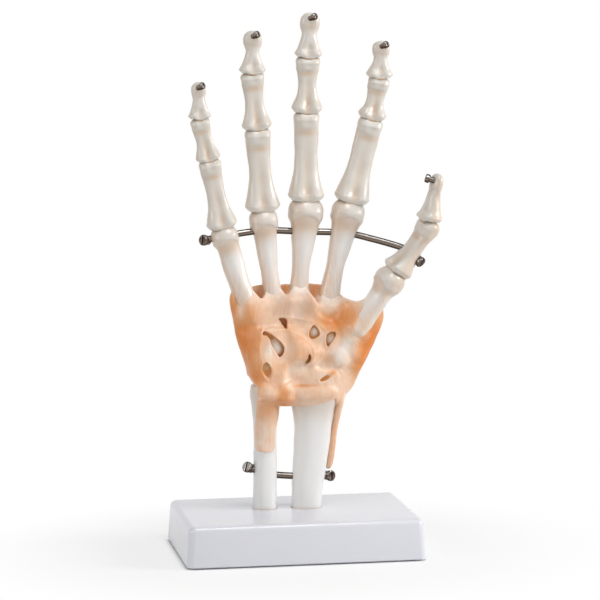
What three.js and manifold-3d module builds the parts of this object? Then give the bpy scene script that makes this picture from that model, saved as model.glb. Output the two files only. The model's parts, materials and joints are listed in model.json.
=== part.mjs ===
// Anatomical hand joint model: the bones of a right hand, palm to the front, standing on a white base.
// Millimetres, +Z up, +X towards the thumb, +Y towards the back of the hand. The origin is the middle
// of the base's underside. The forearm and hand are drawn in their own group, set on the base.
import * as THREE from "three";
import { mergeVertices } from "three/addons/utils/BufferGeometryUtils.js";
import Module from "manifold-3d";

const wasm = await Module();
wasm.setup();

// Clearances between separate pieces
const FIT = 0.35; // between two pieces that only lie together
const JOINT_GAP = 0.4; // between a rounded bone head and the cup that turns on it
const SLIP = 0.3; // round a pin, a rod or a cord in its bore

// Base: a hollow moulded block with a plate screwed into its underside
const BASE = { width: 130, depth: 82, height: 22.7, corner: 4, draft: 1.4, edge: 3, wall: 3 };
const PLATE = { thickness: 3, screwInsetX: 14, screwInsetY: 12, bossRadius: 4.5 };
const PLATE_SCREW = { head: 3.1, headHeight: 1.3, shank: 1.5, length: 12 };
const BONE_BOLT = { head: 4.5, headHeight: 3, shank: 2, length: 15 };
const SOCKET_DEPTH = 1.2; // how far the arm bones stand into the base
const STAND = { x: 0.8, y: 4.5 }; // where the arm stands on the base

// Steel rods with a capped end, and the pins in the fingertips
const ROD = { radius: 1.75, capHead: 3, capHeight: 1.9, neck: 2.6, neckLength: 2.6, engage: 1.6 };
const TIP_PIN = {
  head: 1.9, headHeight: 1.5, neck: 1.35, neckLength: 1.3, shank: 0.9, length: 2.6, below: 2.8, lean: 0.34,
};
const CORD = { radius: 0.5, slack: 0.45, steps: 6 }; // elastic cord that strings each finger together
const SLOT = { width: 0.7, depth: 0.7 }; // screwdriver slot

// Wrist: the two inner carpal bones form a barrel that rolls in the cup of the radius
const WRIST = { x: 5, y: 0, z: 105, half: 19.5, radius: 14 };

// Soft ligament sleeve over the wrist
const LIGAMENT = { thickness: 1.3, over: 0.45, bottom: 79.5, top: 138, rise: 5, webTop: 135.5 };
// How far up each metacarpal the sleeve's tongue reaches, as a share of the bone, and how far its
// sides hang below its tip
const TONGUE = { reach: 0.56, thumbReach: 0.8, scallop: 9, thumbScallop: 5, thickness: 0.9 };
// Straps that bind the sleeve to the arm bones: heights of the lower end, and half widths
const ULNAR_STRAP = { bottom: 54, half: 7.6, thickness: 1.1 };
const RADIAL_STRAP = { bottom: 43, halfTop: 8, halfBottom: 3, thickness: 3.2, y: 1 };
// Thick side bands of the sleeve, with no bone behind them: [height, x, y], and their half thickness
const SIDE_BANDS = {
  half: 1.8,
  radial: [[79, 15, 1], [83, 21, 0], [91, 29.5, 0], [98, 32, -1], [112, 38.5, -4], [126, 43.8, -8],
    [138, 46, -10]],
  ulnar: [[79, -17, 1], [90, -17, 0], [96, -18.5, 0], [102, -22, 0], [108, -25, 0], [120, -29, -1],
    [138, -31.5, -2]],
};
// Windows through the sleeve that show the carpal bones: [x, z, half width, half height, lean]
const PALM_WINDOWS = [
  [-9.1, 126.4, 2.6, 2.5, 0], [-15.1, 115.1, 7, 2.9, 28], [-18.1, 100.5, 2.5, 4.3, 0],
  [3.8, 106.9, 2, 3.5, -20], [8.5, 121.2, 2.8, 3.6, 10], [17.9, 116.7, 2.5, 4, -8], [16.3, 96.7, 5, 2.4, -28],
];
const BACK_WINDOWS = [[-10, 121, 2.6, 4, 12], [8, 113, 2.4, 4.4, -10], [21, 108, 2.4, 4, -20]];
const WINDOW_BACK = 2; // the back windows start this far behind the middle of the wrist

// Fingers two to five. Each point is the middle of a joint: knuckle, middle joint, last joint, tip.
// The widths and depths are halves, and depth is from palm to back.
const FINGERS = {
  index: {
    foot: [17.5, 1, 129], knuckle: [29.4, 0.5, 184.3], middle: [41.1, -1, 231.2],
    last: [45.6, -2.5, 254.3], tip: [46.8, -4.5, 277.2],
    metacarpal: { foot: 7, waist: 4.8, head: 9.3, radius: 8, bow: -0.6 },
    proximal: { foot: 9.6, waist: 6.4, head: 7.1, radius: 5.1 },
    middlePhalanx: { foot: 7.8, waist: 4.8, head: 6.1, radius: 4 },
    distal: { foot: 6.9, waist: 3.5, tuft: 4.9 },
  },
  middle: {
    foot: [2, 2, 128], knuckle: [6.4, 1.5, 185.2], middle: [6.4, 0, 234.8],
    last: [6.9, -1.5, 265.3], tip: [7.9, -3.5, 292.2],
    metacarpal: { foot: 6.6, waist: 4.7, head: 9.6, radius: 8.2, bow: -0.4 },
    proximal: { foot: 9.7, waist: 6.2, head: 7.2, radius: 5.2 },
    middlePhalanx: { foot: 8.1, waist: 5.4, head: 6.7, radius: 4.1 },
    distal: { foot: 7.1, waist: 3.2, tuft: 5.2 },
  },
  ring: {
    foot: [-10, 1.5, 129], knuckle: [-17.1, 0.5, 180.7], middle: [-20.4, -1, 226.2],
    last: [-23.5, -2.5, 257], tip: [-23.5, -4.5, 282.7],
    metacarpal: { foot: 6, waist: 4.7, head: 7.9, radius: 7.3, bow: -0.4 },
    proximal: { foot: 9.4, waist: 5.9, head: 7.2, radius: 5 },
    middlePhalanx: { foot: 8.1, waist: 5, head: 6.5, radius: 4 },
    distal: { foot: 6.7, waist: 3.2, tuft: 4.9 },
  },
  little: {
    foot: [-23, -1, 128], knuckle: [-38.7, -2, 172.5], middle: [-46.6, -3.5, 210.4],
    last: [-52.1, -5, 233.4], tip: [-53.4, -6.5, 255.6],
    metacarpal: { foot: 6.4, waist: 5.6, head: 7.6, radius: 6.8, bow: -0.8 },
    proximal: { foot: 8.4, waist: 4.9, head: 6.2, radius: 4.4 },
    middlePhalanx: { foot: 6.7, waist: 4.4, head: 5.4, radius: 3.5 },
    distal: { foot: 5.7, waist: 3.1, tuft: 3.7 },
  },
};

// Thumb: no middle phalanx, and turned so that its soft side faces the fingers
const THUMB = {
  foot: [31, -7, 119.5], knuckle: [50.3, -11.5, 148.2], last: [70.2, -15, 176.6],
  tip: [75.6, -17, 206], roll: 65,
  metacarpal: { foot: 7.4, waist: 5.8, head: 8.2, radius: 7.6, bow: 0.5 },
  proximal: { foot: 8.3, waist: 5.4, head: 6.9, radius: 5.5 },
  distal: { foot: 7.4, waist: 4, tuft: 4.6, pin: { below: 4, lean: -0.1 } },
};

// Carpal bones: middle, half sizes, and lean in degrees to the thumb side
const CARPALS = {
  capitate: { at: [1.5, 1.5, 114.5], size: [7, 8.5, 12.5], lean: -3 },
  lunate: { at: [-1, 0.5, 99], size: [8.2, 9.5, 7.6], lean: 0 },
  scaphoid: { at: [16.5, -1, 102.5], size: [8, 8, 11], lean: 16 },
  triquetrum: { at: [-16.5, 0, 103.5], size: [7.2, 7.5, 7.6], lean: -20 },
  hamate: { at: [-14, 1, 117.5], size: [9.6, 8, 9], lean: -10 },
  trapezoid: { at: [14.5, 2, 119.5], size: [6.4, 7.5, 7.4], lean: 5 },
  trapezium: { at: [28.5, -4, 113.5], size: [7.8, 7.6, 8], lean: 18 },
  pisiform: { at: [-18.5, -10, 103], size: [5, 3.8, 5.2], lean: 0 },
};

// Arm bones, from the base up: [height, middle x, half width, palm side depth, back side depth]
const RADIUS_BONE = {
  y: 0.5,
  rows: [
    [0, 6.6, 8.3, 6.8, 6.8], [18, 7.6, 8.9, 6.7, 6.8], [38, 9.8, 10, 7, 7], [50, 10.6, 11, 7.4, 7.8],
    [60, 11, 13.2, 8.6, 9.6], [68, 11.6, 14.6, 10, 11], [75, 12.2, 14.4, 10.4, 11.4],
  ],
};
const ULNA_BONE = {
  y: 1.5,
  rows: [
    [0, -16.4, 6.6, 6.2, 6.2], [20, -16.2, 6.4, 6, 6], [42, -16.2, 6.2, 5.8, 6], [55, -16.6, 6.7, 6.2, 6.4],
    [63, -16.8, 7.6, 7.2, 7.4], [68.8, -16.8, 7.2, 6.8, 7.2],
  ],
};

// Routes of the two steel rods, as they lie through the bones
const HAND_ROD_ROUTE = [
  [-48.2, -1.5, 171], [-38, -1.5, 172.9], [-17, 0.5, 175.2], [5, 1.5, 174.2], [27.5, 0.5, 173.2],
  [44, -6, 170.4], [55.5, -12, 166.6], [65, -14.5, 159.4],
];
const ARM_ROD_ROUTE = [[-24.5, 1, 45.1], [-14, 1, 41.6], [2, 1, 39.9], [18.4, 1, 39.6]];

const SIDES = 12; // points round a bone
const BEYOND = BASE.depth / 2; // how far a cutting block runs on, past every piece it cuts

const colours = { bone: 0xebe3d3, base: 0xe4e3ea, steel: 0x6f6a66, ligament: 0xe0a67c, cord: 0xf2efe8 };
const looks = {
  bone: { color: colours.bone, roughness: 0.42, metalness: 0 },
  base: { color: colours.base, roughness: 0.28, metalness: 0 },
  steel: { color: colours.steel, roughness: 0.25, metalness: 1 },
  ligament: { color: colours.ligament, roughness: 0.5, metalness: 0 },
  cord: { color: colours.cord, roughness: 0.8, metalness: 0 },
};

const vec = (x, y, z) => new THREE.Vector3(x, y, z);
const power = (value, exponent) => Math.sign(value) * Math.abs(value) ** exponent;
const { lerp, clamp, degToRad } = THREE.MathUtils;

// A closed solid over a stack of rings, each capped to its own middle at the two ends.
function skin(rings) {
  const count = rings[0].length;
  const middle = (ring) => ring.reduce((sum, p) => sum.add(p), vec(0, 0, 0)).divideScalar(count);
  const points = [...rings.flat(), middle(rings[0]), middle(rings.at(-1))];
  const foot = points.length - 2;
  const head = points.length - 1;
  const faces = [];
  for (let j = 0; j < count; j++) {
    const k = (j + 1) % count;
    for (let i = 0; i < rings.length - 1; i++) {
      const here = i * count;
      faces.push(here + j, here + k, here + count + k, here + j, here + count + k, here + count + j);
    }
    const top = (rings.length - 1) * count;
    faces.push(foot, k, j, head, top + j, top + k);
  }
  return new wasm.Manifold(
    new wasm.Mesh({
      numProp: 3,
      vertProperties: new Float32Array(points.flatMap((p) => p.toArray())),
      triVerts: new Uint32Array(faces),
    }),
  );
}

// A three.js geometry as a solid.
function solidOf(geometry) {
  const bare = geometry.clone();
  bare.deleteAttribute("normal");
  bare.deleteAttribute("uv");
  const merged = mergeVertices(bare, 1e-4);
  return new wasm.Manifold(
    new wasm.Mesh({
      numProp: 3,
      vertProperties: merged.attributes.position.array,
      triVerts: new Uint32Array(merged.index.array),
    }),
  );
}

// The frame of a bone: its length along, the hinge direction across, and the back of the hand.
function boneFrame(from, to, roll = 0) {
  const along = vec(...to).sub(vec(...from));
  const length = along.length();
  along.normalize();
  const facing = vec(Math.sin(degToRad(roll)), Math.cos(degToRad(roll)), 0);
  const across = facing.clone().cross(along).normalize();
  const back = along.clone().cross(across);
  return { origin: vec(...from), across, back, along, length };
}

function spot(frame, u, v, w) {
  return frame.origin
    .clone()
    .addScaledVector(frame.across, u)
    .addScaledVector(frame.back, v)
    .addScaledVector(frame.along, w);
}

// One ring of a bone: a squarish oval, with its own depth on the palm side and on the back.
function oval(frame, row, square, sides) {
  const [w, shift, half, palm, back] = row;
  return Array.from({ length: sides }, (_, i) => {
    const angle = (2 * Math.PI * i) / sides;
    const u = shift + half * power(Math.cos(angle), 2 / square);
    const side = Math.sin(angle);
    return spot(frame, u, (side < 0 ? palm : back) * power(side, 2 / square), w);
  });
}

// Rows between the given ones, on a smooth curve through them.
function smoothRows(rows, perGap) {
  const at = (i) => rows[clamp(i, 0, rows.length - 1)];
  const made = [];
  for (let i = 0; i < rows.length - 1; i++) {
    for (let k = 0; k < perGap; k++) {
      const t = k / perGap;
      made.push(
        rows[i].map((_, c) => {
          const [a, b, d, e] = [at(i - 1)[c], at(i)[c], at(i + 1)[c], at(i + 2)[c]];
          const slopeIn = (d - a) / 2;
          const slopeOut = (e - b) / 2;
          const rise = d - b;
          return b + t * slopeIn + t * t * (3 * rise - 2 * slopeIn - slopeOut)
            + t * t * t * (slopeIn + slopeOut - 2 * rise);
        }),
      );
    }
  }
  return [...made, rows.at(-1)];
}

// The row of a bone at a place along it.
function rowAt(rows, w) {
  const next = Math.max(rows.findIndex((row) => row[0] >= w), 1);
  const [a, b] = [rows[next - 1], rows[next]];
  const t = clamp((w - a[0]) / (b[0] - a[0]), 0, 1);
  return a.map((value, c) => (c ? lerp(value, b[c], t) : w));
}

function shaft(frame, rows, { perGap = 1, grow = 0, square = 2.3, sides = SIDES } = {}) {
  const grown = rows.map(([w, shift, ...halves]) => [w, shift, ...halves.map((h) => h + grow)]);
  return skin(smoothRows(grown, perGap).map((row) => oval(frame, row, square, sides)));
}

// The space that a rounded head needs: a barrel turned about the hinge line, narrowing to its two sides.
function barrel(frame, head, grow = 0) {
  const { w = frame.length, half, radius, round = 4, turns = 14 } = head;
  const rings = [];
  const slices = 4;
  const stretch = grow ? 1 / Math.cos(Math.PI / turns) : 1;
  for (let i = 0; i <= slices; i++) {
    const s = -0.985 * Math.cos((Math.PI * i) / slices);
    const r = (radius * (1 - Math.abs(s) ** round) ** (1 / 2.6) + grow) * stretch;
    rings.push(
      Array.from({ length: turns }, (_, k) => {
        const angle = (2 * Math.PI * k) / turns;
        return spot(frame, s * (half + grow), r * Math.cos(angle), w + r * Math.sin(angle));
      }),
    );
  }
  return skin(rings);
}

// A round bar along a smooth route.
function bar(route, radius, sides, steps) {
  const path = rodPath(route);
  const section = new THREE.Shape(
    Array.from({ length: sides }, (_, i) => {
      const angle = (2 * Math.PI * i) / sides;
      return new THREE.Vector2(radius * Math.cos(angle), radius * Math.sin(angle));
    }),
  );
  return solidOf(new THREE.ExtrudeGeometry(section, { steps, bevelEnabled: false, extrudePath: path }));
}

// A turned piece on the line from a point along a direction; the profile is [radius, distance].
function turned(at, direction, profile, sides = 12) {
  const points = profile.map(([r, h]) => new THREE.Vector2(r, h));
  const geometry = new THREE.LatheGeometry(points, sides);
  const turn = new THREE.Quaternion().setFromUnitVectors(vec(0, 1, 0), direction.clone().normalize());
  geometry.applyMatrix4(new THREE.Matrix4().compose(at, turn, vec(1, 1, 1)));
  return solidOf(geometry);
}

function cylinder(at, direction, radius, from, to, sides = 8) {
  return turned(at, direction, [[0, from], [radius, from], [radius, to], [0, to]], sides);
}

// A screwdriver slot across a screw head, its floor a set distance along the screw.
function slotCut(at, direction, width, floor) {
  const past = ROD.capHead; // the widest head is this far from its middle to its edge
  const geometry = new THREE.BoxGeometry(width, 2 * past, 4 * past).translate(0, floor + past, 0);
  const turn = new THREE.Quaternion().setFromUnitVectors(vec(0, 1, 0), direction.clone().normalize());
  geometry.applyMatrix4(new THREE.Matrix4().compose(at, turn, vec(1, 1, 1)));
  return solidOf(geometry);
}

const model = new THREE.Group();
const arm = new THREE.Group();
arm.position.set(STAND.x, STAND.y, 0);
model.add(arm);

// Adds a solid as a named mesh whose own origin is at a given point.
function addMesh(group, name, solid, look, origin = vec(0, 0, 0)) {
  const { vertProperties, triVerts } = solid.getMesh();
  const geometry = new THREE.BufferGeometry();
  geometry.setAttribute("position", new THREE.BufferAttribute(new Float32Array(vertProperties), 3));
  geometry.setIndex(new THREE.BufferAttribute(new Uint32Array(triVerts), 1));
  geometry.translate(-origin.x, -origin.y, -origin.z);
  geometry.computeVertexNormals();
  const mesh = new THREE.Mesh(geometry, new THREE.MeshStandardMaterial(looks[look]));
  mesh.name = name;
  mesh.position.copy(origin);
  group.add(mesh);
}

// The rounded head of a bone. From front to back it is a circle about the hinge line, so that it turns
// in its cup; across, it narrows towards the top, more on a ball-like head than on a two-knuckled one.
function headRows(length, half, radius, ballLike) {
  return [-0.2, 0.42, 0.8, 0.985].map((height) => {
    const depth = radius * Math.sqrt(1 - height ** 2);
    const share = (1 - Math.max(height, 0) ** (ballLike ? 2.2 : 3.4)) ** 0.5;
    return [length + radius * height, 0, half * share, depth, depth];
  });
}

// Metacarpal rows: a flared foot, a slim waist and a neck that runs into the head.
function metacarpalRows(frame, size) {
  const { length } = frame;
  const { foot, waist, head, radius, bow } = size;
  return [
    [-0.5, 0, foot * 0.82, foot * 0.8, foot * 0.85],
    [2.5, 0, foot, foot * 0.98, foot],
    [length * 0.2, bow * 0.7, lerp(foot, waist, 0.55), waist * 1.1, waist * 1.15],
    [length * 0.45, bow, waist, waist * 0.92, waist * 0.95],
    [length * 0.68, bow * 0.6, lerp(waist, head, 0.28), radius * 0.62, radius * 0.62],
    [length - radius * 0.95, 0, head * 0.8, radius * 0.74, radius * 0.74],
    ...headRows(length, head, radius, true),
  ];
}

// Phalanx rows: the rim of the cup, a wide foot, a flat waist and the neck of the next head.
function phalanxRows(frame, size, below) {
  const { length } = frame;
  const { foot, waist, head, radius } = size;
  const rim = below.radius * 0.66;
  const depth = Math.min(below.radius * 0.93, foot * 0.86);
  return [
    [rim, 0, foot * 0.84, depth * 0.8, depth * 0.84],
    [rim + foot * 0.16, 0, foot * 0.97, depth * 0.97, depth],
    [rim + foot * 0.42, 0, foot * 0.98, depth * 0.96, depth * 0.99],
    [lerp(rim, length, 0.32), 0, lerp(foot, waist, 0.7), radius * 0.84, radius * 1.02],
    [lerp(rim, length, 0.56), 0, waist, radius * 0.66, radius * 0.92],
    [lerp(rim, length, 0.78), 0, lerp(waist, head, 0.35), radius * 0.66, radius * 0.76],
    ...headRows(length, head, radius, false),
  ];
}

// Last phalanx rows: a wide foot, a thin waist and the flat spread tuft that carries the nail.
function distalRows(frame, size, below) {
  const { length } = frame;
  const { foot, waist, tuft } = size;
  const rim = below.radius * 0.66;
  const depth = Math.min(below.radius * 1.05, foot * 0.8);
  return [
    [rim, 0, foot * 0.84, depth * 0.8, depth * 0.84],
    [rim + foot * 0.18, 0, foot * 0.98, depth * 0.96, depth],
    [rim + foot * 0.5, 0, foot * 0.9, depth * 0.88, depth * 0.9],
    [lerp(rim, length, 0.42), 0, waist * 1.15, waist * 0.85, waist * 0.9],
    [lerp(rim, length, 0.56), 0, waist, waist * 0.8, waist * 0.75],
    [lerp(rim, length, 0.74), 0, tuft * 0.97, tuft * 0.62, tuft * 0.5],
    [lerp(rim, length, 0.88), 0, tuft * 0.94, tuft * 0.58, tuft * 0.46],
    [length - 0.5, 0, tuft * 0.6, tuft * 0.36, tuft * 0.3],
    [length, 0, tuft * 0.3, tuft * 0.16, tuft * 0.14],
  ];
}

// One finger as frames and rows, before anything is cut.
function fingerPlan(finger, roll = 0) {
  const order = ["foot", "knuckle", "middle", "last", "tip"].filter((key) => finger[key]);
  const sizes = ["metacarpal", "proximal", "middlePhalanx", "distal"].filter((key) => finger[key]);
  return sizes.map((key, i) => {
    const frame = boneFrame(finger[order[i]], finger[order[i + 1]], roll);
    const size = finger[key];
    const below = i ? finger[sizes[i - 1]] : null;
    let rows = null;
    if (key === "metacarpal") rows = metacarpalRows(frame, size);
    else if (key === "distal") rows = distalRows(frame, size, below);
    else rows = phalanxRows(frame, size, below);
    const head = size.radius && { half: size.head, radius: size.radius, round: i ? 5 : 3 };
    return { key, frame, size, rows, head };
  });
}

const NODE_WORDS = {
  metacarpal: "metacarpal",
  proximal: "proximal_phalanx",
  middlePhalanx: "middle_phalanx",
  distal: "distal_phalanx",
};

const plans = { thumb: fingerPlan(THUMB, THUMB.roll) };
for (const [name, finger] of Object.entries(FINGERS)) plans[name] = fingerPlan(finger);

// Carpal bones: rounded blocks, each cut back where it meets the ones set before it
function carpalBlock({ at, size, lean }, grow) {
  const turn = degToRad(lean);
  const frame = boneFrame(at, [at[0] + Math.sin(turn), at[1], at[2] + Math.cos(turn)]);
  const [half, depth, rise] = size.map((s) => s + grow);
  const rings = [];
  const slices = 6;
  for (let i = 0; i <= slices; i++) {
    const s = -0.97 * Math.cos((Math.PI * i) / slices);
    const share = (1 - Math.abs(s) ** 2.8) ** (1 / 2.8);
    rings.push(oval(frame, [s * rise, 0, half * share, depth * share, depth * share], 2.6, 10));
  }
  return skin(rings);
}

const wristFrame = boneFrame([WRIST.x, WRIST.y, WRIST.z], [WRIST.x, WRIST.y, WRIST.z + 1]);
const wristHead = { w: 0, half: WRIST.half, radius: WRIST.radius, round: 3.4, turns: 24 };
const rollingBones = ["scaphoid", "lunate"];
const carpalSolids = {};
for (const [name, spec] of Object.entries(CARPALS)) {
  let solid = carpalBlock(spec, 0);
  if (rollingBones.includes(name)) solid = solid.intersect(barrel(wristFrame, wristHead));
  for (const placed of Object.keys(carpalSolids)) {
    solid = solid.subtract(carpalBlock(CARPALS[placed], FIT));
  }
  carpalSolids[name] = solid;
}

// The rods and the bores that they need
const HAND_ROD_STEPS = 18;
const ARM_ROD_STEPS = 8;
const rodPath = (route) => new THREE.CatmullRomCurve3(route.map((p) => vec(...p)), false, "centripetal");

// A bore runs on straight past both ends of its rod.
function boreOf(route, steps) {
  const path = rodPath(route);
  const past = 8;
  const ends = [[0, -past], [1, past]].map(([t, way]) =>
    path.getPointAt(t).addScaledVector(path.getTangentAt(t), way).toArray());
  return bar([ends[0], ...route, ends[1]], ROD.radius + SLIP, 8, steps);
}
const rodBore = boreOf(HAND_ROD_ROUTE, HAND_ROD_STEPS + 4);
const armRodBore = boreOf(ARM_ROD_ROUTE, ARM_ROD_STEPS + 2);

// Where the cap of a rod sits at each end, and the flat seat cut in the bone under it
function capPlaces(route) {
  const path = rodPath(route);
  return [["ulnar", 0, -1], ["radial", 1, 1]].map(([side, t, sign]) => {
    const direction = path.getTangentAt(t).multiplyScalar(sign);
    const seat = path.getPointAt(t).addScaledVector(direction, SLIP - ROD.engage);
    return { side, seat, direction };
  });
}
const capSeats = [...capPlaces(HAND_ROD_ROUTE), ...capPlaces(ARM_ROD_ROUTE)].map(({ seat, direction }) =>
  cylinder(seat, direction, ROD.capHead + SLIP, -SLIP, ROD.capHead * 3, 12));
const cutAll = (solid, cutters) => cutters.reduce((left, cutter) => left.subtract(cutter), solid);

// Where a fingertip pin stands: on the palm side just below the tip, leaning up and to the side
function tipPin({ frame, rows, size }) {
  const { below, lean } = { ...TIP_PIN, ...size.pin };
  const w = frame.length - below;
  const seat = spot(frame, 0, -rowAt(rows, w)[3], w);
  const direction = frame.back.clone().multiplyScalar(-0.72);
  direction.addScaledVector(frame.along, 0.6).addScaledVector(frame.across, lean).normalize();
  return { seat, direction };
}

// The bore and the flat seat that a fingertip pin needs
function pinBore({ seat, direction }) {
  const { head, neckLength, headHeight, shank, length } = TIP_PIN;
  const top = neckLength + headHeight;
  return cylinder(seat, direction, shank + SLIP, -length - SLIP, top)
    .add(cylinder(seat, direction, head + SLIP, 0, top * 2, 10));
}

function pinSolid({ seat, direction }) {
  const { head, headHeight, neck, neckLength, shank, length } = TIP_PIN;
  const top = neckLength + headHeight;
  const profile = [
    [0, -length], [shank, -length], [shank, SLIP], [neck, SLIP], [neck, neckLength],
    [head, neckLength], [head, top - 0.5], [head * 0.72, top], [0, top],
  ];
  const slot = slotCut(seat, direction, SLOT.width, top - SLOT.depth);
  return turned(seat, direction, profile, 8).subtract(slot);
}

// The cord of a finger: from just past the rod to just short of the pin in the tip
function cordRoute(plan) {
  const bones = plan.slice(plan.length === 4 ? 0 : 1);
  const first = bones[0].frame;
  const rod = rodPath(HAND_ROD_ROUTE);
  let nearest = Infinity;
  let start = 0;
  for (const point of rod.getPoints(400)) {
    const w = point.clone().sub(first.origin).dot(first.along);
    const off = point.distanceTo(spot(first, 0, 0, w));
    if (off < nearest) [nearest, start] = [off, w];
  }
  const pin = tipPin(bones.at(-1));
  const end = pin.seat.clone().addScaledVector(pin.direction, -TIP_PIN.length);
  const last = bones.at(-1).frame;
  const reach = end.clone().sub(last.origin).dot(last.along) - TIP_PIN.shank - SLIP;
  start += ROD.radius + SLIP;
  const joints = bones.slice(1).map((bone) => bone.frame.origin);
  return [
    spot(first, 0, 0, start).toArray(),
    ...joints.filter((joint) => joint.distanceTo(first.origin) > start).map((joint) => joint.toArray()),
    spot(last, 0, 0, reach).toArray(),
  ];
}

// Finger bones
const inflatedCarpals = Object.values(CARPALS).map((spec) => carpalBlock(spec, FIT));
for (const [name, plan] of Object.entries(plans)) {
  const cord = cordRoute(plan);
  const cordBore = bar(cord, CORD.radius + CORD.slack, 6, CORD.steps);
  const group = new THREE.Group();
  arm.add(group);
  plan.forEach((bone, i) => {
    let solid = shaft(bone.frame, bone.rows);
    if (i === 0) solid = cutAll(solid, inflatedCarpals);
    else solid = solid.subtract(barrel(plan[i - 1].frame, plan[i - 1].head, JOINT_GAP));
    solid = cutAll(solid, [rodBore, cordBore, ...capSeats]);
    if (bone.key === "distal") {
      const pin = tipPin(bone);
      solid = solid.subtract(pinBore(pin));
      addMesh(group, `tip_pin_${name}`, pinSolid(pin), "steel", pin.seat);
    }
    addMesh(group, `${NODE_WORDS[bone.key]}_${name}`, solid, "bone", bone.frame.origin);
  });
  addMesh(group, `elastic_cord_${name}`, bar(cord, CORD.radius, 6, CORD.steps), "cord");
}

// Carpal bones
for (const [name, solid] of Object.entries(carpalSolids)) {
  addMesh(arm, name, solid, "bone", vec(...CARPALS[name].at));
}

// Rods and their caps
function rodCap(at, direction) {
  const { capHead, capHeight, neck, neckLength, engage, radius } = ROD;
  const top = neckLength + capHeight;
  const profile = [
    [0, 0], [neck, 0], [neck, neckLength], [capHead, neckLength], [capHead, top - 0.6],
    [capHead * 0.75, top], [0, top],
  ];
  return turned(at, direction, profile, 10)
    .subtract(cylinder(at, direction, radius + SLIP, -1, engage))
    .subtract(slotCut(at, direction, SLOT.width * 1.5, top - SLOT.depth));
}

function addRod(name, route, steps) {
  addMesh(arm, name, bar(route, ROD.radius, 8, steps), "steel");
  for (const { side, seat, direction } of capPlaces(route)) {
    addMesh(arm, `${name}_cap_${side}`, rodCap(seat, direction), "steel", seat);
  }
}
addRod("hand_rod", HAND_ROD_ROUTE, HAND_ROD_STEPS);
addRod("arm_rod", ARM_ROD_ROUTE, ARM_ROD_STEPS);

// Arm bones, standing in shallow sockets of the base
const socketFloor = BASE.height - SOCKET_DEPTH;
function armFrame(bone) {
  return boneFrame([0, bone.y, socketFloor + FIT], [0, bone.y, socketFloor + FIT + 1]);
}

function armBone(bone, grow = 0) {
  const frame = armFrame(bone);
  const top = bone.rows.at(-1);
  const rows = [...bone.rows, [top[0] + 3.4, top[1], top[2] * 0.9, top[3] * 0.88, top[4] * 0.88]];
  return shaft(frame, rows, { grow, square: 2.4 });
}

function boltLine(bone) {
  return vec(bone.rows[0][1], bone.y, BASE.height - BASE.wall - BONE_BOLT.headHeight - FIT);
}

const up = vec(0, 0, 1);
const ulnaTop = WRIST.z - WRIST.radius + 0.6;
const armBones = { radius: RADIUS_BONE, ulna: ULNA_BONE };
const wristCut = barrel(wristFrame, wristHead, JOINT_GAP);
for (const [name, bone] of Object.entries(armBones)) {
  let solid = cutAll(armBone(bone), [wristCut, armRodBore, ...capSeats]);
  if (name === "ulna") {
    solid = solid.subtract(cylinder(vec(bone.rows.at(-1)[1], bone.y, ulnaTop), up, BEYOND, 0, BEYOND));
  }
  const line = boltLine(bone);
  const hole = BONE_BOLT.headHeight + BONE_BOLT.length + 1;
  solid = solid.subtract(cylinder(line, up, BONE_BOLT.shank + SLIP, 0, hole));
  addMesh(arm, name, solid, "bone", vec(line.x, line.y, socketFloor + FIT));
  const { head, headHeight, shank, length } = BONE_BOLT;
  const profile = [[0, 0], [head, 0], [head, headHeight], [shank, headHeight],
    [shank, headHeight + length], [0, headHeight + length]];
  const bolt = turned(line, up, profile).subtract(slotCut(line, up.clone().negate(), 1.2, -1.2));
  addMesh(arm, `bone_bolt_${name}`, bolt, "steel", line);
}

// Ligament sleeve: a soft skin over the carpal bones, drawn up each metacarpal as a tongue
const HULL_SIDES = 20; // points round the sleeve
const WRAP_SPREAD = 3; // the sleeve at each height wraps what lies this far above and below
const PISIFORM_EASE = 3.4; // the sleeve rises over the pisiform along this many times its height

function metacarpalOval(plan, z) {
  const { frame, rows } = plan[0];
  const rise = (z - frame.origin.z) / frame.along.z;
  if (rise < -1) return [];
  const centre = spot(frame, 0, 0, rise);
  const half = rowAt(rows, rise)[2];
  return [[centre.x, centre.y, half * 1.06, half]];
}

function carpalOval({ at, size, lean }, z) {
  const s = (z - at[2]) / (size[2] * 1.02);
  if (Math.abs(s) >= 1) return [];
  const share = (1 - Math.abs(s) ** 2.8) ** (1 / 2.8) * 1.06;
  const offset = Math.tan(degToRad(lean)) * (z - at[2]) * 0.8;
  return [[at[0] + offset, at[1], size[0] * share, size[1] * share]];
}

// The arm bones fade out of the sleeve's shape over a set height above the wrist.
function armOval(bone, z) {
  const fadeHeight = 12;
  const rise = Math.min(z - socketFloor - FIT, bone.rows.at(-1)[0]);
  const [, shift, half, palm, back] = rowAt(bone.rows, rise);
  const fade = clamp(1 - (z - WRIST.z) / fadeHeight, 0.2, 1);
  return [[shift, bone.y + (back - palm) / 2, half * fade, ((back + palm) / 2) * fade]];
}

// A side band where it crosses a height.
function bandOval(line, z) {
  const row = rowAt(line, clamp(z, line[0][0], line.at(-1)[0]));
  return [[row[1], row[2], SIDE_BANDS.half, SIDE_BANDS.half]];
}

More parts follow.
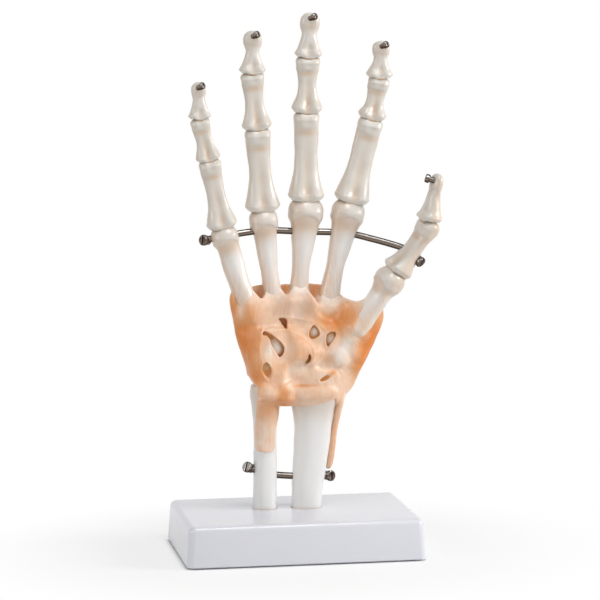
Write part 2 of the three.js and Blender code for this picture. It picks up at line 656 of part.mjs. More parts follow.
// A level of the sleeve: the outline that wraps some ovals, [x, y, half width, half depth], grown a little.
function wrapRing(ovals, grow, height) {
  const blend = 0.8; // how softly one bone's outline passes into the next
  const reach = (angle) => {
    const [c, s] = [Math.cos(angle), Math.sin(angle)];
    const out = ovals.map(([x, y, a, b]) => x * c + y * s + Math.hypot(a * c, b * s));
    const most = Math.max(...out);
    return grow + most + blend * Math.log(out.reduce((sum, r) => sum + Math.exp((r - most) / blend), 0));
  };
  return Array.from({ length: HULL_SIDES }, (_, i) => {
    const angle = (2 * Math.PI * i) / HULL_SIDES;
    const turn = 0.02;
    const r = reach(angle);
    const slope = (reach(angle + turn) - reach(angle - turn)) / (2 * turn);
    const [c, s] = [Math.cos(angle), Math.sin(angle)];
    return vec(r * c - slope * s, r * s + slope * c, height(s));
  });
}

const [pisiformHalf, pisiformDepth, pisiformRise] = CARPALS.pisiform.size;
const wrappedCarpals = {
  ...CARPALS,
  pisiform: { ...CARPALS.pisiform, size: [pisiformHalf, pisiformDepth, pisiformRise * PISIFORM_EASE] },
};

function palmOvals(z, banded) {
  return [
    ...(banded ? [...bandOval(SIDE_BANDS.radial, z), ...bandOval(SIDE_BANDS.ulnar, z)] : []),
    ...Object.entries(plans).flatMap(([name, plan]) => (name === "thumb" ? [] : metacarpalOval(plan, z))),
    ...Object.values(wrappedCarpals).flatMap((spec) => carpalOval(spec, z)),
    ...Object.values(armBones).flatMap((bone) => armOval(bone, z)),
  ];
}

function webOvals(z, banded) {
  return [
    ...(banded ? bandOval(SIDE_BANDS.radial, z) : []),
    ...metacarpalOval(plans.thumb, z), ...metacarpalOval(plans.index, z),
    ...carpalOval(CARPALS.trapezium, z), ...carpalOval(CARPALS.trapezoid, z),
  ];
}

function wrap(ovalsAt, banded, from, to, grow, levels, rise) {
  const rings = [];
  for (let i = 0; i <= levels; i++) {
    const z = lerp(from, to, i / levels);
    const lift = rise * (i / levels) ** 3;
    const ovals = [-WRAP_SPREAD, 0, WRAP_SPREAD].flatMap((shift) => ovalsAt(z + shift, banded));
    rings.push(wrapRing(ovals, grow, (s) => z + lift * Math.max(s, 0)));
  }
  return skin(rings);
}

// A tongue of the sleeve round a metacarpal; its top edge is highest on the palm and on the back.
function tongue(plan, reach, scallop, grow) {
  const { frame, rows } = plan[0];
  const top = frame.length * reach;
  const below = rows.filter((row) => row[0] < top - scallop);
  return skin(
    [...below, rowAt(rows, top)].map((row, i) => {
      const [w, shift, ...halves] = row;
      const hang = i === below.length ? scallop : 0;
      const ring = oval(frame, [w, shift, ...halves.map((half) => half + grow)], 2.3, SIDES);
      const droop = (k) => -hang * Math.cos((2 * Math.PI * k) / SIDES) ** 2;
      return ring.map((point, k) => point.addScaledVector(frame.along, droop(k)));
    }),
  );
}

// A cutting block: a shape in the upright plane, x across and z up, run from one depth to another.
function upright(shape, fromY, toY) {
  const depth = toY - fromY;
  const geometry = new THREE.ExtrudeGeometry(shape, { depth, bevelEnabled: false, curveSegments: 4 });
  geometry.rotateX(Math.PI / 2).translate(0, toY, 0);
  return solidOf(geometry);
}

function pouch(banded, grow, past) {
  const { bottom, top, rise, webTop } = LIGAMENT;
  const palm = wrap(palmOvals, banded, bottom - past, top + past, grow, 8, rise);
  return palm.add(wrap(webOvals, banded, CARPALS.trapezium.at[2] - 7, webTop + past, grow, 4, 0));
}

let ligament = pouch(true, LIGAMENT.over + LIGAMENT.thickness, 0);
for (const [name, plan] of Object.entries(plans)) {
  const [reach, scallop] = name === "thumb"
    ? [TONGUE.thumbReach, TONGUE.thumbScallop]
    : [TONGUE.reach, TONGUE.scallop];
  ligament = ligament.add(tongue(plan, reach, scallop, LIGAMENT.over + TONGUE.thickness));
}
const ulnaX = ULNA_BONE.rows[2][1];
const strapOutline = (half, x, from, to) => {
  const shape = new THREE.Shape();
  shape.moveTo(x + half, to);
  shape.lineTo(x - half, to);
  shape.lineTo(x - half, from + half * 0.5);
  shape.quadraticCurveTo(x - half, from, x, from);
  shape.quadraticCurveTo(x + half, from, x + half, from + half * 0.5);
  return shape;
};
const strapTop = LIGAMENT.bottom + 4;
const ulnarBand = armBone(ULNA_BONE, LIGAMENT.over + ULNAR_STRAP.thickness).intersect(
  upright(strapOutline(ULNAR_STRAP.half + 2, ulnaX, ULNAR_STRAP.bottom, strapTop), -BEYOND, ULNA_BONE.y + 2),
);
const { halfTop, halfBottom } = RADIAL_STRAP;
const radialOutline = new THREE.Shape([
  new THREE.Vector2(RADIAL_STRAP.y - halfBottom, RADIAL_STRAP.bottom),
  new THREE.Vector2(RADIAL_STRAP.y + halfBottom, RADIAL_STRAP.bottom),
  new THREE.Vector2(RADIAL_STRAP.y + halfTop, strapTop),
  new THREE.Vector2(RADIAL_STRAP.y - halfTop, strapTop),
]);
const radiusX = RADIUS_BONE.rows[2][1];
const radialSide = upright(radialOutline, 0, BEYOND).rotate([0, 0, 90]).translate([radiusX + BEYOND, 0, 0]);
const radialBand = armBone(RADIUS_BONE, LIGAMENT.over + RADIAL_STRAP.thickness).intersect(radialSide);
ligament = cutAll(ligament.add(ulnarBand).add(radialBand), [
  pouch(false, LIGAMENT.over, 1.5),
  ...Object.values(CARPALS).map((spec) => carpalBlock(spec, LIGAMENT.over)),
  ...Object.values(armBones).map((bone) => armBone(bone, LIGAMENT.over)),
  ...Object.values(plans).map(([{ frame, rows }]) => {
    const [[low, ...foot], ...rest] = rows;
    return shaft(frame, [[low - LIGAMENT.over, ...foot], ...rest], { grow: LIGAMENT.over });
  }),
]);

function windowShape([x, z, half, rise, lean]) {
  const shape = new THREE.Shape();
  shape.absellipse(x, z, half, rise, 0, 2 * Math.PI, false, degToRad(-lean));
  return shape;
}
ligament = cutAll(ligament, [
  ...PALM_WINDOWS.map((spec) => upright(windowShape(spec), -BEYOND, 0)),
  ...BACK_WINDOWS.map((spec) => upright(windowShape(spec), WINDOW_BACK, BEYOND)),
]);
addMesh(arm, "wrist_ligament", ligament, "ligament", vec(WRIST.x, WRIST.y, WRIST.z));

// Base shell, its bottom plate and the plate's screws
function blockRing(halfX, halfY, corner, z) {
  const ring = [];
  const steps = 2;
  [[1, 1], [-1, 1], [-1, -1], [1, -1]].forEach(([sx, sy], quarter) => {
    for (let i = 0; i <= steps; i++) {
      const angle = (Math.PI / 2) * (quarter + i / steps);
      ring.push(vec(
        sx * (halfX - corner) + corner * Math.cos(angle),
        sy * (halfY - corner) + corner * Math.sin(angle),
        z,
      ));
    }
  });
  return ring;
}

function block(inset, from, to, edge) {
  const half = (z) => inset + (BASE.draft * z) / BASE.height;
  const ring = (z, extra) => {
    const pull = half(z) + extra;
    return blockRing(BASE.width / 2 - pull, BASE.depth / 2 - pull, Math.max(BASE.corner - inset, 1), z);
  };
  const rings = [ring(from, 0), ring(to - edge, 0)];
  const steps = 3;
  for (let i = 1; edge && i <= steps; i++) {
    const angle = (Math.PI / 2) * (i / steps);
    rings.push(ring(to - edge + edge * Math.sin(angle), edge * (1 - Math.cos(angle))));
  }
  return skin(rings);
}

const plateScrewSpots = [];
for (const sx of [-1, 1]) {
  for (const sy of [-1, 1]) {
    plateScrewSpots.push(
      vec(sx * (BASE.width / 2 - PLATE.screwInsetX), sy * (BASE.depth / 2 - PLATE.screwInsetY), 0),
    );
  }
}
const ceiling = BASE.height - BASE.wall;
let shell = block(0, 0, BASE.height, BASE.edge).subtract(block(BASE.wall, -1, ceiling, 0));
for (const at of plateScrewSpots) {
  shell = shell
    .add(cylinder(at, up, PLATE.bossRadius, PLATE.thickness + SLIP, ceiling + 1))
    .subtract(cylinder(at, up, PLATE_SCREW.shank + SLIP, 0, PLATE_SCREW.length + 2));
}
const toBase = (solid) => solid.translate([STAND.x, STAND.y, 0]);
for (const bone of Object.values(armBones)) {
  const frame = armFrame(bone);
  const foot = bone.rows[0].slice(1);
  const rows = [[-FIT, ...foot], [6, ...foot]];
  const line = boltLine(bone);
  shell = shell
    .subtract(toBase(shaft(frame, rows, { perGap: 1, grow: FIT, square: 2.4 })))
    .subtract(toBase(cylinder(line, up, BONE_BOLT.shank + SLIP, 0, BASE.height)));
}
addMesh(model, "base_shell", shell, "base");

let plate = block(BASE.wall + SLIP, 0, PLATE.thickness, 0);
plateScrewSpots.forEach((at, i) => {
  const { head, headHeight, shank, length } = PLATE_SCREW;
  const rest = 0.4;
  plate = plate
    .subtract(cylinder(at, up, shank + SLIP, -1, PLATE.thickness + 1))
    .subtract(cylinder(at, up, head + SLIP, -1, rest + headHeight + SLIP));
  const profile = [[0, rest], [head, rest], [head, rest + headHeight], [shank, rest + headHeight],
    [shank, rest + length], [0, rest + length]];
  addMesh(model, `plate_screw_${i + 1}`, turned(at, up, profile), "steel", at);
});
addMesh(model, "base_plate", plate, "base");

export default model;
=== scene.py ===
# The bones of a right hand, palm to the front, strung and pinned on a white block base.
# Sizes are in millimetres until a mesh is set down, and the scene is in metres. +Z is up, +X is the
# thumb's side and +Y the back of the hand.
import json
import math

import bmesh
import bpy
import numpy as np
from mathutils import Matrix, Vector, noise
from mathutils.bvhtree import BVHTree

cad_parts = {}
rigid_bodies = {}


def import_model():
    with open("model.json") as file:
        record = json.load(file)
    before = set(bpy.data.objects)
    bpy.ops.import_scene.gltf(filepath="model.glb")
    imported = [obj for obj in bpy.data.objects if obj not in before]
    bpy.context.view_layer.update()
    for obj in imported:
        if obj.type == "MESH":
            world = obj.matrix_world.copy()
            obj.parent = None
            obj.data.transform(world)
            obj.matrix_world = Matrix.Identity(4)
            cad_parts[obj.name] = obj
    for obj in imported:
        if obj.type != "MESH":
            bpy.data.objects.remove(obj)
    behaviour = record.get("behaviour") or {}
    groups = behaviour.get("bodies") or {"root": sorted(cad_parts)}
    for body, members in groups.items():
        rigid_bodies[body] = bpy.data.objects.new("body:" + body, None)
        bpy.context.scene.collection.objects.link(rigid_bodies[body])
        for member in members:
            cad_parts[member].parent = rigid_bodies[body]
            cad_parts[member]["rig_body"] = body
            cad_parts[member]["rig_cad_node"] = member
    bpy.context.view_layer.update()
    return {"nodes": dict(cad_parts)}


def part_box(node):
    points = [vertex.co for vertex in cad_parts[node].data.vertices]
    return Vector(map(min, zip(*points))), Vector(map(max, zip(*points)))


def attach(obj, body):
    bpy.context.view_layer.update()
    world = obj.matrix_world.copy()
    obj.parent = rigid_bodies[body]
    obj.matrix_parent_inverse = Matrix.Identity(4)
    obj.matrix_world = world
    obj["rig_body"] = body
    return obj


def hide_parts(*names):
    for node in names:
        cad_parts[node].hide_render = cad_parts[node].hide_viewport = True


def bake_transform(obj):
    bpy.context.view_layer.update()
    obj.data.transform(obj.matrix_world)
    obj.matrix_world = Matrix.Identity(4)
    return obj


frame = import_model()
scene = bpy.context.scene
MM = 0.001

# Studio
# A white floor that glows for the lens, less so near the block and in the crack under it, a white sky, and
# soft lamps at both sides, so that the rims of the bones are brighter than their middles. The camera looks
# from a little left.
VIEW_AZIMUTH = -10.4
VIEW_HEIGHT = 6.8
VIEW_DISTANCE = 1.4
VIEW_TARGET = Vector((0.0029, 0.0, 0.1376))
VIEW_LENS = 155.2

azimuth, height = math.radians(VIEW_AZIMUTH), math.radians(VIEW_HEIGHT)
level = math.cos(height)
to_lens = Vector((math.sin(azimuth) * level, -math.cos(azimuth) * level, math.sin(height)))
bpy.ops.object.camera_add(location=VIEW_TARGET + to_lens * VIEW_DISTANCE)
camera = bpy.context.object
camera.rotation_mode = "QUATERNION"
camera.rotation_quaternion = (-to_lens).to_track_quat("-Z", "Y")
camera.data.lens = VIEW_LENS
camera.data.sensor_width = 36
camera.data.clip_start = 0.05
scene.camera = camera
scene.view_settings.view_transform = "Standard"

FLOOR_COLOUR = (0.9, 0.9, 0.9, 1)
FLOOR_NEAR = 0.06
FLOOR_FAR = 0.16
FLOOR_GLOW_NEAR = 0.65
FLOOR_CRACK = 0.004
SKY_COLOUR = (1, 1, 1, 1)
SKY_LIGHT = 0.34


def fill(node, sockets):
    """Gives each named socket of a node its constant, or the other node's output that it follows."""
    for name, value in sockets.items():
        if isinstance(value, bpy.types.NodeSocket):
            node.id_data.links.new(value, node.inputs[name])
        else:
            node.inputs[name].default_value = value


def add_node(tree, kind, sockets, output, **settings):
    """Adds a shader node with its sockets filled, and gives back one of its outputs."""
    node = tree.nodes.new("ShaderNode" + kind)
    for key, value in settings.items():
        setattr(node, key, value)
    fill(node, sockets)
    return node.outputs[output]


def worked_out(tree, operation, *values):
    return add_node(tree, "Math", dict(enumerate(values)), "Value", operation=operation)


def ranged(tree, value, low, high, new_low=0, new_high=1, curve="LINEAR"):
    sockets = {"Value": value, "From Min": low, "From Max": high, "To Min": new_low, "To Max": new_high}
    return add_node(tree, "MapRange", sockets, "Result", interpolation_type=curve)


def stretched(tree, place, scale):
    return add_node(tree, "Mapping", {"Vector": place, "Scale": scale}, "Vector")


def new_material(name, sockets):
    """A new material, with these constants on its shader, then its tree, its shader and the place in it."""
    material = bpy.data.materials.new(name)
    material.use_nodes = True
    tree = material.node_tree
    shader = tree.nodes["Principled BSDF"]
    fill(shader, sockets)
    return material, tree, shader, add_node(tree, "TexCoord", {}, "Object")


def lens_sees(tree):
    """1 on a ray from the lens, also by a mirror or through something clear, and 0 on any other ray."""
    ray = tree.nodes.new("ShaderNodeLightPath").outputs
    seen = worked_out(tree, "MAXIMUM", ray["Is Camera Ray"], ray["Is Glossy Ray"])
    return worked_out(tree, "MAXIMUM", seen, ray["Is Transmission Ray"])


world = bpy.data.worlds.new("white_room")
scene.world = world
world.use_nodes = True
sky = world.node_tree
sky.nodes.clear()
sky_glow = add_node(sky, "Background", {"Color": SKY_COLOUR, "Strength": SKY_LIGHT}, "Background")
sky_seen = add_node(sky, "Background", {"Color": SKY_COLOUR}, "Background")
sky_mix = add_node(sky, "MixShader", {"Fac": lens_sees(sky), 1: sky_glow, 2: sky_seen}, "Shader")
fill(sky.nodes.new("ShaderNodeOutputWorld"), {"Surface": sky_mix})

bpy.ops.mesh.primitive_plane_add(size=8, location=(0, 0, 0))
floor = bpy.context.object
floor.name = "studio_floor"
floor_paint, tree, shader, place = new_material(
    "studio_floor_paint", {"Base Color": FLOOR_COLOUR, "Roughness": 0.9})
distance = add_node(tree, "VectorMath", {0: stretched(tree, place, (0.8, 1, 1))}, "Value", operation="LENGTH")
fade = ranged(tree, distance, FLOOR_NEAR, FLOOR_FAR, FLOOR_GLOW_NEAR, 1, "SMOOTHSTEP")
crack = add_node(tree, "AmbientOcclusion", {"Distance": FLOOR_CRACK}, "AO", samples=8)
still = worked_out(tree, "MULTIPLY", fade, ranged(tree, crack, 0.45, 0.85))
share = worked_out(tree, "MULTIPLY", lens_sees(tree), still)
glow = add_node(tree, "Emission", {}, "Emission")
floor_mix = add_node(tree, "MixShader", {"Fac": share, 1: shader.outputs["BSDF"], 2: glow}, "Shader")
fill(tree.nodes["Material Output"], {"Surface": floor_mix})
floor.data.materials.append(floor_paint)

for lamp_name, spot_at, aim, size, watts in (
    ("right_lamp", (1.0, -0.35, 0.5), (0, 0, 0.15), 0.4, 7.6),
    ("left_lamp", (-1.0, -0.45, 0.45), (0, 0, 0.15), 0.4, 2.4),
    ("top_lamp", (0.15, -0.45, 1.1), (0, 0, 0.12), 0.35, 3.2),
):
    bpy.ops.object.light_add(type="AREA", location=spot_at)
    lamp = bpy.context.object
    lamp.name = lamp_name
    lamp.data.size = size
    lamp.data.energy = watts
    lamp.rotation_mode = "QUATERNION"
    lamp.rotation_quaternion = (Vector(aim) - Vector(spot_at)).to_track_quat("-Z", "Y")

# Base block
# A hollow block moulded in glossy white plastic with a faint lavender cast. Its sides lean in a little,
# its edges are well rounded, and two shallow sockets in the top take the feet of the arm bones.
BLOCK = (130.0, 82.0, 22.7)
BLOCK_DRAFT = 1.4
BLOCK_CORNER = 4.0
BLOCK_EDGE = 3.0
BLOCK_WALL = 3.0
BLOCK_LIFT = 0.8
BLOCK_FOOT_EDGE = 0.9
INSIDE_TAPER = (0.985, 0.975, 1)
SOCKET_DEPTH = 1.2
SOCKET_GAP = 0.35
STAND = np.array((0.8, 4.5, 0.0))
RADIUS_FOOT = (6.6, 0.5, 8.3, 6.8)
ULNA_FOOT = (-16.4, 1.5, 6.6, 6.2)


def clear_selection():
    if bpy.context.mode != "OBJECT":
        bpy.ops.object.mode_set(mode="OBJECT")
    bpy.ops.object.select_all(action="DESELECT")


def pick(piece):
    clear_selection()
    piece.select_set(True)
    bpy.context.view_layer.objects.active = piece


def settle(piece, name):
    """Gives a piece its name and puts its place into its mesh."""
    pick(piece)
    bpy.ops.object.transform_apply(location=True, rotation=True, scale=True)
    piece.name = name
    piece.data.name = name
    return piece


def apply_modifier(piece, kind, **values):
    pick(piece)
    modifier = piece.modifiers.new(kind.lower(), kind)
    for key, value in values.items():
        setattr(modifier, key, value)
    bpy.ops.object.modifier_apply(modifier=modifier.name)


def choose(piece, edges=None, faces=None, verts=None):
    """Enters edit mode with only the edges, faces or vertices that a test picks selected."""
    pick(piece)
    bpy.ops.object.mode_set(mode="EDIT")
    bpy.ops.mesh.select_mode(type="VERT" if verts else "EDGE" if edges else "FACE")
    bpy.ops.mesh.select_all(action="DESELECT")
    mesh = bmesh.from_edit_mesh(piece.data)
    for element in mesh.verts if verts else mesh.edges if edges else mesh.faces:
        if (verts or edges or faces)(element):
            element.select = True
    mesh.select_flush_mode()
    bmesh.update_edit_mesh(piece.data)


def cut_out(piece, cutter):
    apply_modifier(piece, "BOOLEAN", object=cutter, operation="DIFFERENCE", solver="EXACT")
    bpy.data.objects.remove(cutter)


def stand_upright(edge):
    """An edge of the block that runs up one of its corners."""
    a, b = (vert.co for vert in edge.verts)
    return abs(a.z - b.z) > abs(a.x - b.x) + abs(a.y - b.y)


clear_selection()
block_middle = (0, 0, BLOCK[2] / 2 * MM)
bpy.ops.mesh.primitive_cube_add(size=1, location=block_middle, scale=[side * MM for side in BLOCK])
block = settle(bpy.context.object, "base_block")
choose(block, faces=lambda face: face.normal.z > 0.9)
lean = [1 - 2 * BLOCK_DRAFT / side for side in BLOCK[:2]]
bpy.ops.transform.resize(value=(lean[0], lean[1], 1), center_override=(0, 0, BLOCK[2] * MM))
choose(block, edges=stand_upright)
bpy.ops.mesh.bevel(offset=BLOCK_CORNER * MM, segments=8, affect="EDGES")
choose(block, edges=lambda edge: all(vert.co.z > (BLOCK[2] - 0.1) * MM for vert in edge.verts))
bpy.ops.mesh.bevel(offset=BLOCK_EDGE * MM, segments=8, affect="EDGES")
choose(block, edges=lambda edge: all(vert.co.z < 0.1 * MM for vert in edge.verts))
bpy.ops.transform.translate(value=(0, 0, BLOCK_LIFT * MM))
bpy.ops.mesh.bevel(offset=BLOCK_FOOT_EDGE * MM, segments=4, affect="EDGES")
choose(block, faces=lambda face: face.normal.z < -0.99)
bpy.ops.mesh.inset(thickness=(BLOCK_WALL - BLOCK_FOOT_EDGE) * MM)
inside_height = (BLOCK[2] - BLOCK_WALL - BLOCK_LIFT) * MM
bpy.ops.mesh.extrude_region_move(TRANSFORM_OT_translate={"value": (0, 0, inside_height)})
bpy.ops.transform.resize(value=INSIDE_TAPER, center_override=(0, 0, 0))
bpy.ops.object.mode_set(mode="OBJECT")
for middle_x, middle_y, half, deep in (RADIUS_FOOT, ULNA_FOOT):
    bpy.ops.mesh.primitive_cylinder_add(vertices=96, radius=1, depth=2 * SOCKET_DEPTH * MM)
    socket = bpy.context.object
    socket.scale = ((half + SOCKET_GAP) * MM, (deep + SOCKET_GAP) * MM, 1)
    socket.location = Vector((middle_x + STAND[0], middle_y + STAND[1], BLOCK[2])) * MM
    settle(socket, "socket_cutter")
    cut_out(block, socket)
pick(block)
bpy.ops.object.shade_smooth_by_angle(angle=math.radians(35))



def noise_at(tree, place, scale, detail, roughness=0.5):
    sockets = {"Vector": place, "Scale": scale, "Detail": detail, "Roughness": roughness}
    return add_node(tree, "TexNoise", sockets, "Fac")


def ramp(tree, value, stops):
    """The colour for a value, from stops given as a position and a colour each."""
    node = tree.nodes.new("ShaderNodeValToRGB")
    fill(node, {"Fac": value})
    elements = node.color_ramp.elements
    for element, (position, colour) in zip(elements, (stops[0], stops[-1])):
        element.position = position
        element.color = (*colour, 1)
    for position, colour in stops[1:-1]:
        elements.new(position).color = (*colour, 1)
    return node.outputs["Color"]


def bumped(tree, height, strength, distance):
    return add_node(tree, "Bump", {"Height": height, "Strength": strength, "Distance": distance}, "Normal")


block_plastic, tree, shader, place = new_material(
    "white_block_plastic", {"IOR": 1.49, "Coat Weight": 0.35, "Coat Roughness": 0.12})
lavender = [(0.2, (0.715, 0.72, 0.775)), (0.8, (0.74, 0.745, 0.795))]
fill(shader, {
    "Base Color": ramp(tree, noise_at(tree, place, 18, 3), lavender),
    "Roughness": ranged(tree, noise_at(tree, place, 60, 4), 0.3, 0.7, 0.24, 0.27),
    "Normal": bumped(tree, noise_at(tree, place, 160, 2), 0.05, 0.00002),
})
block.data.materials.append(block_plastic)
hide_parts("base_shell")
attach(block, "stand")

# Arm bones
# The lower ends of the radius and the ulna, cast in ivory PVC, with tan painted as shade round the foot
# where it stands in its socket and tan that grows towards the sleeve. Each stands in its socket and is
# bolted from below. The same way of making serves every bone here: a ball is drawn out along the bone,
# so that each ring of the ball becomes one station of the bone.
BOLT_LIFT = 21.85
ARM_SQUARENESS = 2.3
RADIUS_DEPTH, ULNA_DEPTH = 0.5, 1.5
RADIUS_ROWS = [
    (0, 6.6, 8.2, 6.7, 6.7), (1.2, 6.6, 8.2, 6.7, 6.7), (6, 6.8, 8.3, 6.7, 6.7), (18, 7.6, 8.9, 6.7, 6.8),
    (38, 9.8, 10, 7, 7), (50, 10.6, 11, 7.4, 7.8), (60, 11, 13.2, 8.6, 9.6), (68, 11.6, 14.6, 10, 11),
    (74, 12.2, 14.4, 10.4, 11.4),
]
ULNA_ROWS = [
    (0, -16.5, 6.6, 6.1, 6.1), (1.2, -16.5, 6.6, 6.2, 6.2), (5, -16.4, 6.6, 6.2, 6.2), (20, -16.2, 6.4, 6, 6),
    (42, -16.2, 6.2, 5.8, 6), (55, -16.6, 6.7, 6.2, 6.4), (63, -16.8, 7.5, 7.2, 7.4),
    (68.8, -16.8, 7.2, 6.8, 7.2),
]


def smooth_rows(rows, per_gap):
    """Rows between the given ones, on a smooth curve through them."""
    rows = np.array(rows, float)
    made = []
    last = len(rows) - 1
    for i in range(last):
        a, b, c, d = rows[max(i - 1, 0)], rows[i], rows[i + 1], rows[min(i + 2, last)]
        for t in np.arange(per_gap) / per_gap:
            slope_in, slope_out, rise = (c - a) / 2, (d - b) / 2, c - b
            made.append(b + t * slope_in + t * t * (3 * rise - 2 * slope_in - slope_out)
                        + t ** 3 * (slope_in + slope_out - 2 * rise))
    return np.array(made + [rows[-1]])


def power(value, exponent):
    return np.sign(value) * np.abs(value) ** exponent


def oval_at(stations, ring, angle, squareness):
    """Points of a bone's outline: across it, to its back and along it. A station has a height, a shift to
    the side, half the width, and the depths on the palm side and on the back."""
    w, shift, half, palm, back = stations[ring].T
    side = np.sin(angle)
    u = shift + half * power(np.cos(angle), 2 / squareness)
    return u, np.where(side < 0, palm, back) * power(side, 2 / squareness), w


def bone_frame(start, end, roll=0.0):
    """Where a bone starts, its directions across, to the back of the hand and along, and its length."""
    along = np.subtract(end, start)
    length = np.linalg.norm(along)
    along = along / length
    facing = np.array((math.sin(math.radians(roll)), math.cos(math.radians(roll)), 0))
    across = np.cross(facing, along)
    across = across / np.linalg.norm(across)
    return np.array(start) + STAND, across, np.cross(along, across), along, length


def drawn_out(name, segments, rings, place):
    """A ball drawn out along a bone: place(ring, angle) gives the point for each ring and angle."""
    clear_selection()
    bpy.ops.mesh.primitive_uv_sphere_add(segments=segments, ring_count=rings, radius=1)
    ball = bpy.context.object
    count = len(ball.data.vertices)
    points = np.empty(count * 3)
    ball.data.vertices.foreach_get("co", points)
    points = points.reshape(-1, 3)
    ring = np.rint(np.arccos(np.clip(-points[:, 2], -1, 1)) * rings / math.pi).astype(int)
    angle = np.arctan2(points[:, 1], points[:, 0])
    ball.data.vertices.foreach_set("co", (place(ring, angle) * MM).ravel())
    ball.data.update()
    ball.name = name
    ball.data.name = name
    bpy.ops.object.shade_smooth()
    return ball


def knead(piece, coarse, fine):
    """Small lumps that take the machine look off a surface, coarse and fine, in millimetres."""
    normals = [vert.normal.copy() for vert in piece.data.vertices]
    for vert, normal in zip(piece.data.vertices, normals):
        spot = vert.co / MM
        lump = coarse * noise.noise(spot / 7.0) + fine * noise.noise(spot / 2.1)
        vert.co += normal * lump * MM
    piece.data.update()


def paint(piece, name, values):
    layer = piece.data.attributes.new(name, "FLOAT", "POINT")
    layer.data.foreach_set("value", np.clip(values, 0, 1).astype(np.float32))


def points_of(piece):
    points = np.empty(len(piece.data.vertices) * 3)
    piece.data.vertices.foreach_get("co", points)
    return points.reshape(-1, 3) / MM


def step(value, low, high):
    t = np.clip((value - low) / (high - low), 0, 1)
    return t * t * (3 - 2 * t)


def attribute(tree, name):
    return add_node(tree, "Attribute", {}, "Fac", attribute_name=name)


def tinted(tree, share, ground, colour):
    """A colour laid over the ground, as strongly as the share says."""
    sockets = {"Factor": share, "A": ground, "B": (*colour, 1)}
    return add_node(tree, "Mix", sockets, "Result", data_type="RGBA")


ivory, tree, shader, place = new_material("ivory_cast_pvc", {
    "IOR": 1.5, "Subsurface Weight": 0.12, "Subsurface Radius": (1.0, 0.7, 0.45), "Subsurface Scale": 0.0015,
    "Coat Weight": 0.4, "Coat Roughness": 0.16,
})
mottle = noise_at(tree, place, 110, 5, 0.6)
cream = ramp(tree, mottle, [(0.3, (0.655, 0.605, 0.535)), (0.72, (0.7, 0.665, 0.61))])
streak = ranged(tree, noise_at(tree, stretched(tree, place, (1500, 1500, 60)), 1, 3), 0.3, 0.7, 0.35, 1)
# The peach and tan attributes hold stains, dark joint lines and the ligament's tint, and also painted shade:
# in hollows, under heads, along side edges, on the left side of the metacarpals and inside the windows.
peach_and_shade_share = worked_out(tree, "MULTIPLY", attribute(tree, "peach"), streak)
tan_and_shade_share = worked_out(tree, "MULTIPLY", attribute(tree, "tan"), ranged(tree, mottle, 0.25, 0.75, 0.72, 1.15))
bone_colour = tinted(tree, attribute(tree, "pale"), cream, (0.84, 0.83, 0.81))
bone_colour = tinted(tree, peach_and_shade_share, bone_colour, (0.76, 0.52, 0.36))
fill(shader, {
    "Base Color": tinted(tree, tan_and_shade_share, bone_colour, (0.56, 0.31, 0.12)),
    "Roughness": ranged(tree, mottle, 0.3, 0.7, 0.3, 0.42),
    "Normal": bumped(tree, noise_at(tree, place, 900, 4), 0.06, 0.0004),
})

arm_surfaces = []
arm_plans = (("radius_end", RADIUS_ROWS, RADIUS_DEPTH), ("ulna_end", ULNA_ROWS, ULNA_DEPTH))
for name, rows, middle_y in arm_plans:
    stations = smooth_rows(rows, 6)
    stations = np.vstack([stations[0] * (1, 1, 0, 0, 0), stations, stations[-1] * (1, 1, 0, 0, 0)])

    def arm_point(ring, angle):
        u, v, lift = oval_at(stations, ring, angle, ARM_SQUARENESS)
        return np.stack([u, middle_y + v, lift + BOLT_LIFT], 1) + STAND

    arm_bone = drawn_out(name, 56, len(stations) - 1, arm_point)
    knead(arm_bone, 0.3, 0.05)
    spots = points_of(arm_bone)
    # Tan painted as shade in a thin ring round the foot where it stands in its socket, and tan that grows
    # from 66 mm up to 82 mm.
    foot_shade_line = 0.3 * np.exp(-((spots[:, 2] - BLOCK[2]) / 1.1) ** 2)
    under_sleeve = 0.25 * step(spots[:, 2], 66, 82)
    paint(arm_bone, "tan", foot_shade_line + under_sleeve)
    paint(arm_bone, "peach", 0.1 * step(spots[:, 2], 60, 84))
    paint(arm_bone, "pale", 1 - 0.5 * step(spots[:, 2], 50, 100))
    arm_bone.data.materials.append(ivory)
    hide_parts(name.split("_")[0])
    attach(arm_bone, "stand")
    arm_surfaces.append(arm_bone)

# Carpal bones
# Eight small rounded bones cast with the same ivory PVC, lying in the soft sleeve. They show only in its
# windows, so each is a worked-over copy of its plain solid with the edges rubbed round, and two of them
# have lumps that fill a window.
CARPALS = ("capitate", "lunate", "scaphoid", "triquetrum", "hamate", "trapezoid", "trapezium", "pisiform")
CARPAL_GRAIN = 0.55
CARPAL_KNOBS = {
    "hamate": [((-12.3, -8.4, 112.8), (5.2, 3.4, 6.4))],
    "trapezoid": [((9.3, -7.2, 120.3), (3.8, 2.4, 4.6)), ((18.2, -8.4, 117.0), (3.8, 2.6, 4.6))],
}
CARPAL_LIT_SPOTS = [(-12.5, 112.5, 5), (9.6, 120.8, 2.6), (18.2, 116.2, 2.4)]
carpal_surfaces = []


def lump(name, middle, halves):
    """A smooth round lump at a place beside the arm, given by its half sizes."""
    clear_selection()
    at = (np.array(middle) + STAND) * MM
    bpy.ops.mesh.primitive_uv_sphere_add(segments=40, ring_count=24, radius=MM, location=at, scale=halves)
    return settle(bpy.context.object, name)


def rounded(piece, grain, passes):
    """Remakes a piece's surface in small even faces and smooths it."""
    apply_modifier(piece, "REMESH", mode="VOXEL", voxel_size=grain * MM)
    apply_modifier(piece, "SMOOTH", factor=0.5, iterations=passes)


def joined(pieces, name):
    clear_selection()
    for piece in pieces:
        piece.select_set(True)
    bpy.context.view_layer.objects.active = pieces[0]
    bpy.ops.object.join()
    return settle(bpy.context.object, name)


